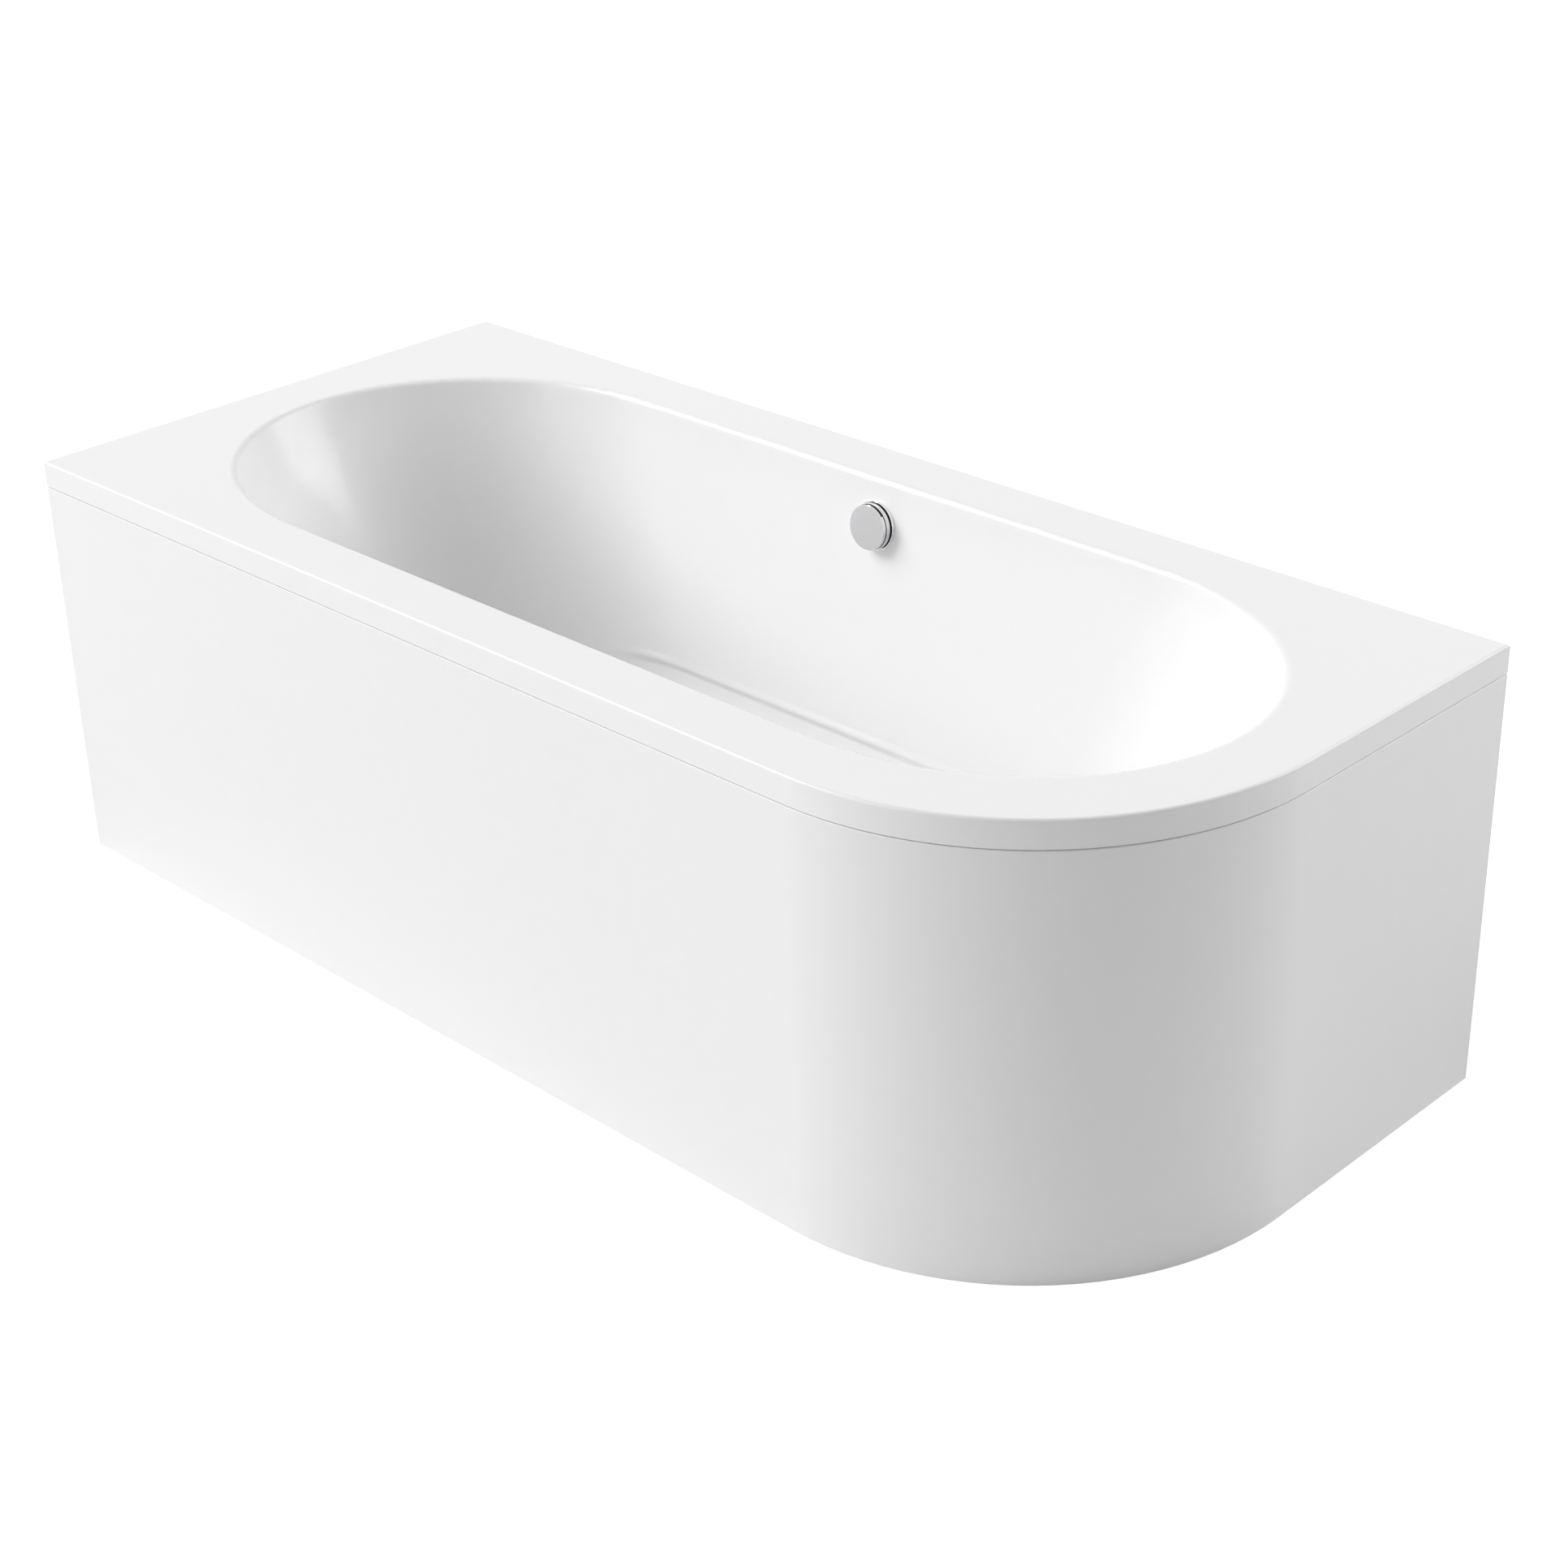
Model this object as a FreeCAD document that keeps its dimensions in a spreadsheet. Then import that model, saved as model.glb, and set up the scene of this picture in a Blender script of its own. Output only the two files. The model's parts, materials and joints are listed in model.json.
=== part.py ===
import FreeCAD, Part

import math
import os

import Sketcher

# A back-to-wall corner bath with a J-shaped front. The origin is the middle of the
# footprint on the floor: +X runs along the wall towards the rounded corner, +Y points
# to the wall behind, -Y is the front, +Z is up. All lengths are in millimetres.

DRIVING = {
    # bath shell
    "bath_length": 1700,
    "bath_width": 750,
    "bath_height": 560,
    "corner_radius": 375,
    "shell_wall": 5,
    "rim_drop": 34,
    "rim_edge_fillet": 4,
    "rim_end_width": 88,
    "rim_side_width": 85,
    "well_end_stretch": 35,
    "floor_height": 150,
    "end_lean": 192,
    "side_lean": 46,
    "floor_end_stretch": 18,
    "floor_fillet": 55,
    "lip_fillet": 10,
    # front panel
    "panel_wall": 4,
    "panel_gap": 1.5,
    "panel_edge_fillet": 1.2,
    "panel_flange": 24,
    "panel_foot_flange": 18,
    "panel_return": 32,
    "tongue_height": 14,
    "tongue_play": 0.4,
    "stiffener_width": 60,
    "stiffener_thickness": 12,
    "stiffener_count": 3,
    # timber under the shell
    "board_inset": 55,
    "board_thickness": 15,
    "board_corner": 120,
    "batten_width": 26,
    "wall_batten_height": 30,
    "front_batten_height": 22,
    # cradles and feet
    "cradle_inset": 140,
    "cradle_wall_gap": 65,
    "cradle_width": 44,
    "cradle_height": 25,
    "cradle_wall": 2,
    "cradle_bend": 2,
    "foot_inset": 35,
    "stud_radius": 6,
    "stud_hole_play": 1,
    "stud_spare": 16,
    "pad_radius": 26,
    "pad_rim": 5,
    "pad_height": 12,
    "pad_boss_radius": 11,
    "pad_boss_height": 12,
    "pad_rib_count": 6,
    "pad_rib_width": 3,
    "pad_rib_inset": 2,
    "nut_radius": 10.5,
    "nut_height": 9,
    "thread_play": 0.3,
    "screw_radius": 2.2,
    "screw_head_radius": 4.5,
    "screw_head_height": 2.6,
    "screw_length": 12,
    "screw_inset": 70,
    "screw_play": 0.05,
    # wall brackets
    "bracket_inset": 350,
    "bracket_width": 46,
    "bracket_leg": 42,
    "bracket_reach": 28,
    "bracket_wall": 3,
    "bracket_bend": 2,
    "bracket_hole_radius": 2.75,
    "bracket_hole_spacing": 24,
    # overflow and its knob
    "overflow_drop": 62,
    "overflow_hole_radius": 22,
    "hole_play": 0.6,
    "rose_radius": 32,
    "rose_thickness": 4,
    "rose_bevel": 1.2,
    "sleeve_wall": 3.5,
    "sleeve_length": 16,
    "seal_radius": 30,
    "seal_thickness": 3,
    "overflow_body_radius": 30,
    "overflow_body_depth": 38,
    "moulding_wall": 3.5,
    "spigot_length": 50,
    "knob_radius": 30,
    "knob_ring_thickness": 6,
    "knob_disc_thickness": 3.5,
    "knob_disc_inset": 0.8,
    "knob_groove": 0.9,
    "knob_groove_depth": 2,
    "knob_gap": 3,
    "knob_wall": 2.5,
    "knob_hub_radius": 7,
    "knob_bevel": 0.8,
    "spindle_radius": 4,
    "spindle_play": 0.08,
    "boss_radius": 8,
    "boss_length": 3,
    "crank_reach": 11.5,
    "crank_play": 0.5,
    "crank_thickness": 3,
    "crank_hub_radius": 6.5,
    "crank_tip_radius": 3.2,
    "crank_pin_radius": 1.6,
    "crank_web_inset": 0.8,
    "arm_waist": 0.6,
    "crank_pin_length": 4,
    "knob_turn": 90,
    "lug_top": 18,
    "lug_height": 9,
    "lug_width": 11,
    "lug_depth": 12,
    # hose and cable
    "hose_radius": 17.5,
    "hose_bore_radius": 13,
    "hose_rib_depth": 2.2,
    "hose_rib_pitch": 12.5,
    "hose_plain_end": 35,
    "hose_bend": 80,
    "nut_ring_radius": 21.5,
    "nut_ring_length": 24,
    "nut_collar": 5,
    "nut_grip_count": 12,
    "nut_grip_radius": 3,
    "nut_grip_depth": 1.2,
    "cable_radius": 2.5,
    "cable_offset": 24,
    "cable_side": 11,
    "cable_gland_radius": 4.2,
    "cable_boss_length": 36,
    "cable_gland_length": 10,
    "ring_play": 0.1,
    "clip_wall": 2,
    "clip_width": 8,
    "clip_first": 110,
    "clip_pitch": 120,
    # waste and plug
    "waste_wall_gap": 134,
    "waste_hole_radius": 26,
    "waste_flange_radius": 35,
    "waste_flange_thickness": 2.5,
    "waste_bore_radius": 20,
    "waste_sleeve_length": 24,
    "waste_seal_radius": 37,
    "waste_body_radius": 32,
    "waste_body_depth": 80,
    "waste_neck_depth": 16,
    "inlet_drop": 55,
    "inlet_length": 48,
    "waste_rim_thickness": 4,
    "tail_radius": 23.9,
    "tail_bore_radius": 20,
    "tail_length": 26,
    "board_cutout_play": 6,
    "plug_radius": 29,
    "plug_edge": 2,
    "plug_dome": 3.5,
    "plug_gap": 0.5,
    "plug_neck_radius": 18.5,
    "plug_neck_depth": 4,
    "plug_seal_height": 2.4,
    "plug_seal_depth": 2,
    "plug_seal_play": 0.3,
    "plug_lift": 8,
    "stem_radius": 4,
    "stem_tip_radius": 1.5,
    "stem_tip_height": 3,
    "guide_rib": 3,
    "guide_height": 6,
    "guide_boss_wall": 2.5,
    "lever_reach": 14,
    "lever_width": 6,
    "pivot_boss_radius": 5.5,
    "pivot_boss_reach": 31,
    "pivot_reach": 28,
    "lever_radius": 2.5,
    "lever_play": 0.3,
}

doc = FreeCAD.newDocument("corner_bath")
sheet = doc.addObject("Spreadsheet::Sheet", "sizes")
for row, (alias, value) in enumerate(DRIVING.items(), 1):
    sheet.set(f"A{row}", alias)
    sheet.set(f"B{row}", str(value))
    sheet.setAlias(f"B{row}", alias)
doc.recompute()

SUBPARTS = []
X_AXIS = FreeCAD.Vector(1, 0, 0)
Y_AXIS = FreeCAD.Vector(0, 1, 0)
Z_AXIS = FreeCAD.Vector(0, 0, 1)
LEVEL_TOLERANCE = 0.01
FULL_TURN = 360
EDGE_SHARES = (0, 0.35, 0.7, 1)

# Shares of the hose's rib pitch: the valley begins, the valley ends, the crest begins.
VALLEY_START = 0.2
VALLEY_END = 0.45
CREST_START = 0.65


class Size:
    """A length with its number and the formula that gives it from the sheet."""

    def __init__(self, text, value):
        self.text = text
        self.value = float(value)

    def __add__(self, other):
        other = as_size(other)
        return Size(f"({self.text} + {other.text})", self.value + other.value)

    def __sub__(self, other):
        other = as_size(other)
        return Size(f"({self.text} - {other.text})", self.value - other.value)

    def __mul__(self, other):
        other = as_size(other)
        return Size(f"({self.text} * {other.text})", self.value * other.value)

    def __truediv__(self, other):
        other = as_size(other)
        return Size(f"({self.text} / {other.text})", self.value / other.value)

    def __rsub__(self, other):
        return as_size(other) - self

    def __neg__(self):
        return Size(f"(-1 * {self.text})", -self.value)

    __radd__ = __add__

    def __rmul__(self, other):
        return self * other


def as_size(number):
    return number if isinstance(number, Size) else Size(str(number), number)


def root(size):
    return Size(f"sqrt({size.text})", math.sqrt(size.value))


def cosine_of(degrees):
    return Size(f"cos({degrees.text} * 1deg)", math.cos(math.radians(degrees.value)))


def sine_of(degrees):
    return Size(f"sin({degrees.text} * 1deg)", math.sin(math.radians(degrees.value)))


class Sizes:
    """Reads each named size as an attribute."""

    def __getattr__(self, name):
        return Size(f"sizes.{name}", DRIVING[name])


s = Sizes()

# Places that several pieces share.
end_x = s.bath_length / 2
side_y = s.bath_width / 2
arc_x = end_x - s.corner_radius
arc_y = s.corner_radius - side_y
plate_under = s.bath_height - s.shell_wall
rim_bottom = s.bath_height - s.rim_drop
floor_top = s.floor_height
floor_under = floor_top - s.shell_wall
board_under = floor_under - s.board_thickness
panel_top = rim_bottom - s.panel_gap
well_depth = s.bath_height - floor_top
well_x = end_x - s.rim_end_width
well_y = side_y - s.rim_side_width
floor_x = well_x - s.end_lean
floor_y = well_y - s.side_lean
well_end_axis = well_y + s.well_end_stretch
floor_end_axis = floor_y + s.floor_end_stretch
wall_slope = s.side_lean / well_depth
end_slope = s.end_lean / well_depth
wall_run = s.shell_wall * root(1 + wall_slope * wall_slope)
end_run = s.shell_wall * root(1 + end_slope * end_slope)
overflow_y = well_y - wall_slope * s.overflow_drop
overflow_z = s.bath_height - s.overflow_drop
slant = root(1 + wall_slope * wall_slope)
wall_lean = math.degrees(math.atan(wall_slope.value))
tongue_inset = s.shell_wall + s.tongue_play
batten_inset = tongue_inset + s.panel_wall + s.tongue_play
bracket_top = plate_under - s.wall_batten_height
bracket_hole_z = bracket_top - s.bracket_leg / 2 - s.bracket_wall
bracket_x = end_x - s.bracket_inset
cradle_x = floor_x - s.cradle_inset
cradle_reach = side_y - s.cradle_wall_gap
foot_y = cradle_reach - s.foot_inset
stud_top = board_under + s.nut_height + s.stud_spare

# Along the overflow's own axis, measured from the well's face towards the bather.
sleeve_radius = s.overflow_hole_radius - s.hole_play
sleeve_end = -(s.shell_wall + s.sleeve_length)
overflow_front = -(s.shell_wall + s.seal_thickness)
overflow_back = overflow_front - s.overflow_body_depth
hose_line = (overflow_front + overflow_back) / 2
crank_front = overflow_back - s.boss_length - s.crank_play
knob_back = s.rose_thickness + s.knob_gap
knob_disc_back = knob_back + s.knob_ring_thickness + s.knob_groove
knob_face = knob_disc_back + s.knob_disc_thickness
cable_line = hose_line - s.cable_offset

# The waste's axis stands on the flat of the well, in front of the overflow.
waste_y = floor_y - s.waste_wall_gap
flange_top = floor_top + s.waste_flange_thickness
waste_top = floor_under - s.seal_thickness
waste_low = waste_top - s.waste_body_depth
tail_low = waste_low - s.tail_length
inlet_z = floor_top - s.inlet_drop
cable_z = inlet_z - s.cable_offset
swing_sine = s.plug_lift / 2 / s.lever_reach
swing_cosine = root(1 - swing_sine * swing_sine)
lever_arm = s.crank_reach * sine_of(s.knob_turn / 2) / swing_sine
pivot_y = s.lever_reach * swing_cosine
pivot_z = cable_z + lever_arm * swing_cosine
nose_z = pivot_z - s.plug_lift / 2
stem_low = nose_z + s.lever_radius + s.lever_play


def bind(thing, name, size):
    """Ties one property to its formula."""
    thing.setExpression(name, as_size(size).text)


def new_body(label):
    body = doc.addObject("PartDesign::Body", label)
    body.Label = label
    SUBPARTS.append(body)
    return body


def place(thing, x=0, y=0, z=0):
    bind(thing, "Placement.Base.x", x)
    bind(thing, "Placement.Base.y", y)
    bind(thing, "Placement.Base.z", z)


def new_sketch(body, name, plane="XY_Plane", height=0):
    sketch = body.newObject("Sketcher::SketchObject", f"{body.Name}_{name}")
    origin_plane = [f for f in body.Origin.OriginFeatures if f.Role == plane][0]
    sketch.AttachmentSupport = [(origin_plane, "")]
    sketch.MapMode = "FlatFace"
    bind(sketch, "AttachmentOffset.Base.z", height)
    return sketch


def hold(sketch, kind, size, *where):
    """Adds a sized constraint and ties it to its formula."""
    index = sketch.addConstraint(Sketcher.Constraint(kind, *where, as_size(size).value))
    sketch.setExpression(f"Constraints[{index}]", as_size(size).text)


def closed_outline(sketch, corners, arcs=None):
    """Joins the corners in turn. arcs gives an edge's radius and centre by its number."""
    arcs = arcs or {}
    count = len(corners)
    spots = [FreeCAD.Vector(as_size(x).value, as_size(y).value, 0) for x, y in corners]
    ends = []
    for i in range(count):
        start, end = spots[i], spots[(i + 1) % count]
        if i not in arcs:
            geometry = sketch.addGeometry(Part.LineSegment(start, end), False)
            ends.append((geometry, 1, 2))
            continue
        radius, centre_x, centre_y = arcs[i]
        centre = FreeCAD.Vector(as_size(centre_x).value, as_size(centre_y).value, 0)
        turns_left = (start - centre).cross(end - centre).z > 0
        first, last = (start, end) if turns_left else (end, start)
        first_angle = math.atan2(first.y - centre.y, first.x - centre.x)
        last_angle = math.atan2(last.y - centre.y, last.x - centre.x)
        circle = Part.Circle(centre, Z_AXIS, as_size(radius).value)
        geometry = sketch.addGeometry(Part.ArcOfCircle(circle, first_angle, last_angle), False)
        ends.append((geometry, 1, 2) if turns_left else (geometry, 2, 1))
        hold(sketch, "Radius", radius, geometry)
    for i in range(count):
        geometry, _, finish = ends[i]
        following, start, _ = ends[(i + 1) % count]
        sketch.addConstraint(Sketcher.Constraint("Coincident", geometry, finish, following, start))
        x, y = corners[(i + 1) % count]
        hold(sketch, "DistanceX", x, -1, 1, following, start)
        hold(sketch, "DistanceY", y, -1, 1, following, start)
    return sketch


def oval(sketch, half_length, half_width, end_axis):
    """Two straight sides joined by half ellipses."""
    centre_x = half_length - end_axis
    a, b, c = end_axis.value, half_width.value, centre_x.value
    arcs = []
    for side in (1, -1):
        ellipse = Part.Ellipse(
            FreeCAD.Vector(side * (c + a), 0, 0),
            FreeCAD.Vector(side * c, side * b, 0),
            FreeCAD.Vector(side * c, 0, 0),
        )
        half_turn = Part.ArcOfEllipse(ellipse, -math.pi / 2, math.pi / 2)
        arcs.append(sketch.addGeometry(half_turn, False))
    right, left = arcs
    top = sketch.addGeometry(
        Part.LineSegment(FreeCAD.Vector(c, b, 0), FreeCAD.Vector(-c, b, 0)), False
    )
    bottom = sketch.addGeometry(
        Part.LineSegment(FreeCAD.Vector(-c, -b, 0), FreeCAD.Vector(c, -b, 0)), False
    )
    for joint in ((right, 2, top, 1), (top, 2, left, 1), (left, 2, bottom, 1), (bottom, 2, right, 1)):
        sketch.addConstraint(Sketcher.Constraint("Coincident", *joint))
    for side, arc in ((1, right), (-1, left)):
        major = sketch.GeometryCount
        sketch.exposeInternalGeometry(arc)
        minor = major + 1
        hold(sketch, "DistanceX", side * centre_x, -1, 1, arc, 3)
        hold(sketch, "DistanceY", 0, -1, 1, arc, 3)
        sketch.addConstraint(Sketcher.Constraint("Horizontal", major))
        hold(sketch, "Distance", 2 * end_axis, major)
        hold(sketch, "Distance", 2 * half_width, minor)
        sketch.addConstraint(Sketcher.Constraint("PointOnObject", arc, 1, minor))
        sketch.addConstraint(Sketcher.Constraint("PointOnObject", arc, 2, minor))
    return sketch


def circles(sketch, radius, centres=((0, 0),)):
    for x, y in centres:
        centre = FreeCAD.Vector(as_size(x).value, as_size(y).value, 0)
        index = sketch.addGeometry(Part.Circle(centre, Z_AXIS, as_size(radius).value), False)
        hold(sketch, "Radius", radius, index)
        hold(sketch, "DistanceX", x, -1, 1, index, 3)
        hold(sketch, "DistanceY", y, -1, 1, index, 3)
    return sketch


def rectangle(sketch, x0, x1, y0, y1):
    return closed_outline(sketch, [(x0, y0), (x1, y0), (x1, y1), (x0, y1)])


def feature(body, kind, name, profile=None):
    made = body.newObject(f"PartDesign::{kind}", f"{body.Name}_{name}")
    if profile is not None:
        made.Profile = profile
    return made


def pad(body, sketch, length, reverse=False, both_ways=False):
    made = feature(body, "Pad", f"pad_{sketch.Name}", sketch)
    bind(made, "Length", length)
    made.Reversed = reverse
    made.Midplane = both_ways
    return made


def pocket(body, sketch, length, reverse=False, both_ways=False):
    """Cuts the sketch's outline away; an empty cut stops the build."""
    doc.recompute()
    before = body.Shape.Volume
    made = feature(body, "Pocket", f"pocket_{sketch.Name}", sketch)
    bind(made, "Length", length)
    made.Reversed = reverse
    made.Midplane = both_ways
    doc.recompute()
    assert body.Shape.Volume < before, f"{made.Name} cut nothing"
    return made


def turned(body, name, profile, cut=False, arcs=None):
    """Turns a profile of (radius, height) corners about the body's Z axis."""
    sketch = closed_outline(new_sketch(body, name, "XZ_Plane"), profile, arcs)
    made = feature(body, "Groove" if cut else "Revolution", f"turn_{name}", sketch)
    made.ReferenceAxis = (sketch, ["V_Axis"])
    made.Angle = FULL_TURN
    return made


def level_edges(made, height, keep=lambda edge: True):
    """Names the edges that lie flat at a height."""
    doc.recompute()
    z = as_size(height).value
    names = []
    for number, edge in enumerate(made.Shape.Edges, 1):
        first, last = edge.FirstParameter, edge.LastParameter
        spots = [edge.valueAt(first + (last - first) * share) for share in EDGE_SHARES]
        flat = all(abs(spot.z - z) < LEVEL_TOLERANCE for spot in spots)
        if flat and keep(edge):
            names.append(f"Edge{number}")
    return names


def rounded(body, name, made, edges, radius, kind="Fillet"):
    """Rounds, or chamfers, edges of the feature made last."""
    assert edges, f"no edges to round for {body.Name} {name}"
    smooth = feature(body, kind, name)
    smooth.Base = (made, edges)
    bind(smooth, "Radius" if kind == "Fillet" else "Size", radius)
    doc.recompute()
    return smooth


def outline_corners(inset):
    """The bath's J-shaped plan, moved inwards, counter-clockwise from the front left."""
    radius = s.corner_radius - inset
    corners = [
        (-end_x + inset, -side_y + inset),
        (arc_x, -side_y + inset),
        (end_x - inset, arc_y),
        (end_x - inset, side_y - inset),
        (-end_x + inset, side_y - inset),
    ]
    return corners, {1: (radius, arc_x, arc_y)}


def on_outline(edge, inset):
    """Whether an edge's middle lies on the J-shaped plan at an inset."""
    middle = edge.valueAt((edge.FirstParameter + edge.LastParameter) / 2)
    x0, x1 = -end_x.value + inset, end_x.value - inset
    y0, y1 = -side_y.value + inset, side_y.value - inset
    centre = FreeCAD.Vector(arc_x.value, arc_y.value, middle.z)
    in_corner = middle.x > centre.x and middle.y < centre.y
    if in_corner:
        gap = abs(middle.distanceToPoint(centre) - (s.corner_radius.value - inset))
    else:
        gap = min(abs(middle.x - x0), abs(middle.x - x1), abs(middle.y - y0), abs(middle.y - y1))
    return gap < LEVEL_TOLERANCE


def on_overflow(thing, along=0, x=0, up=0):
    """Stands a piece on the back wall's slant: its +Z points into the well."""
    cosine = as_size(1) / slant
    sine = wall_slope / slant
    bind(thing, "Placement.Base.x", x)
    bind(thing, "Placement.Base.y", overflow_y + up * sine - as_size(along) * cosine)
    bind(thing, "Placement.Base.z", overflow_z + up * cosine + as_size(along) * sine)
    thing.Placement.Rotation = FreeCAD.Rotation(X_AXIS, 90 - wall_lean)
    thing.setExpression("Placement.Rotation.Angle", f"90deg - atan({wall_slope.text})")


def make_bath_shell():
    """The moulded tub: a flat rim with a turned-down edge around a lofted well."""
    body = new_body("bath_shell")
    rim = closed_outline(new_sketch(body, "rim", height=rim_bottom), *outline_corners(as_size(0)))
    pad(body, rim, s.rim_drop)
    under = new_sketch(body, "under", height=rim_bottom)
    closed_outline(under, *outline_corners(s.shell_wall))
    pocket(body, under, s.rim_drop - s.shell_wall, reverse=True)

    outer_top = new_sketch(body, "outer_top", height=s.bath_height)
    oval(outer_top, well_x + end_run, well_y + wall_run, well_end_axis + end_run)
    outer_floor = new_sketch(body, "outer_floor", height=floor_under)
    oval(
        outer_floor,
        floor_x - end_slope * s.shell_wall + end_run,
        floor_y - wall_slope * s.shell_wall + wall_run,
        floor_end_axis + end_run,
    )
    outer = feature(body, "AdditiveLoft", "outer_well", outer_top)
    outer.Sections = [outer_floor]
    reach = (well_y + wall_run + s.shell_wall).value
    root_edges = level_edges(
        outer, plate_under, lambda edge: max(abs(edge.BoundBox.YMin), edge.BoundBox.YMax) < reach
    )
    outer_root = rounded(body, "outer_root", outer, root_edges, s.lip_fillet - s.shell_wall)

    inner_top = new_sketch(body, "inner_top", height=s.bath_height)
    oval(inner_top, well_x, well_y, well_end_axis)
    inner_floor = new_sketch(body, "inner_floor", height=floor_top)
    oval(inner_floor, floor_x, floor_y, floor_end_axis)
    inner = feature(body, "SubtractiveLoft", "inner_well", inner_top)
    inner.Sections = [inner_floor]
    inner_round = rounded(body, "inner_round", inner, level_edges(inner, floor_top), s.floor_fillet)
    outer_edges = level_edges(inner_round, floor_under)
    outer_round = rounded(body, "outer_round", inner_round, outer_edges, s.floor_fillet + s.shell_wall)
    lip_edges = level_edges(
        outer_round, s.bath_height, lambda edge: not on_outline(edge, 0)
    )
    lip = rounded(body, "lip", outer_round, lip_edges, s.lip_fillet)
    rounded(
        body,
        "edge_round",
        lip,
        level_edges(lip, s.bath_height, lambda edge: on_outline(edge, 0)),
        s.rim_edge_fillet,
    )
    waste_hole = circles(
        new_sketch(body, "waste_hole", height=floor_top), s.waste_hole_radius, [(0, waste_y)]
    )
    pocket(body, waste_hole, s.shell_wall)
    overflow_hole = new_sketch(body, "overflow_hole", "XZ_Plane", -overflow_y)
    bind(overflow_hole, "AttachmentOffset.Base.y", overflow_z)
    overflow_hole.AttachmentOffset.Rotation = FreeCAD.Rotation(-X_AXIS, wall_lean)
    overflow_hole.setExpression("AttachmentOffset.Rotation.Angle", f"atan({wall_slope.text})")
    circles(overflow_hole, s.overflow_hole_radius)
    pocket(body, overflow_hole, 2 * (s.shell_wall + s.lip_fillet), both_ways=True)
    return body


def simple(kind, name, sizes):
    """A plain solid whose sizes are tied to formulas."""
    made = doc.addObject(f"Part::{kind}", name)
    for key, size in sizes.items():
        bind(made, key, size)
    return made


def block(name, x, y, z):
    """A box between pairs of places along X, Y and Z."""
    sizes = {"Length": x[1] - x[0], "Width": y[1] - y[0], "Height": z[1] - z[0]}
    made = simple("Box", name, sizes)
    place(made, x[0], y[0], z[0])
    return made


def rod(name, radius, x, y, z):
    """An upright cylinder between a pair of heights."""
    made = simple("Cylinder", name, {"Radius": radius, "Height": z[1] - z[0]})
    place(made, x, y, z[0])
    return made


def joined(kind, name, base, tool):
    made = doc.addObject(f"Part::{kind}", name)
    made.Base = base
    made.Tool = tool
    return made


def group(name, members):
    made = doc.addObject("Part::Compound", name)
    made.Links = members
    return made


def keep(made):
    made.Label = made.Name
    SUBPARTS.append(made)


def arm(body, name, plane, height, root_at, tip_at, tip_radius, thickness, start=0, both_ways=False):
    """A straight flat arm with a round tip. start leaves out its first stretch."""
    (x0, y0), (x1, y1) = [(as_size(x), as_size(y)) for x, y in (root_at, tip_at)]
    length = root((x1 - x0) * (x1 - x0) + (y1 - y0) * (y1 - y0))
    along = ((x1 - x0) / length, (y1 - y0) / length)
    half = tip_radius * s.arm_waist
    across = (along[1] * half, -along[0] * half)
    near = (x0 + along[0] * start, y0 + along[1] * start)
    corners = [
        (near[0] + across[0], near[1] + across[1]),
        (x1 + across[0], y1 + across[1]),
        (x1 - across[0], y1 - across[1]),
        (near[0] - across[0], near[1] - across[1]),
    ]
    pad(body, closed_outline(new_sketch(body, name, plane, height), corners), thickness, both_ways=both_ways)
    tip = circles(new_sketch(body, f"{name}_tip", plane, height), tip_radius, [(x1, y1)])
    pad(body, tip, thickness, both_ways=both_ways)


def panel_strip(body, name, outer, inner, end, height):
    """A band that follows the J from the left end to the wall, between two insets."""
    outer, inner, end = as_size(outer), as_size(inner), as_size(end)
    corners = [
        (-end_x + end, -side_y + outer),
        (arc_x, -side_y + outer),
        (end_x - outer, arc_y),
        (end_x - outer, side_y - end),
        (end_x - inner, side_y - end),
        (end_x - inner, arc_y),
        (arc_x, -side_y + inner),
        (-end_x + end, -side_y + inner),
    ]
    arcs = {
        1: (s.corner_radius - outer, arc_x, arc_y),
        5: (s.corner_radius - inner, arc_x, arc_y),
    }
    return closed_outline(new_sketch(body, name, height=height), corners, arcs)


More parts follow.
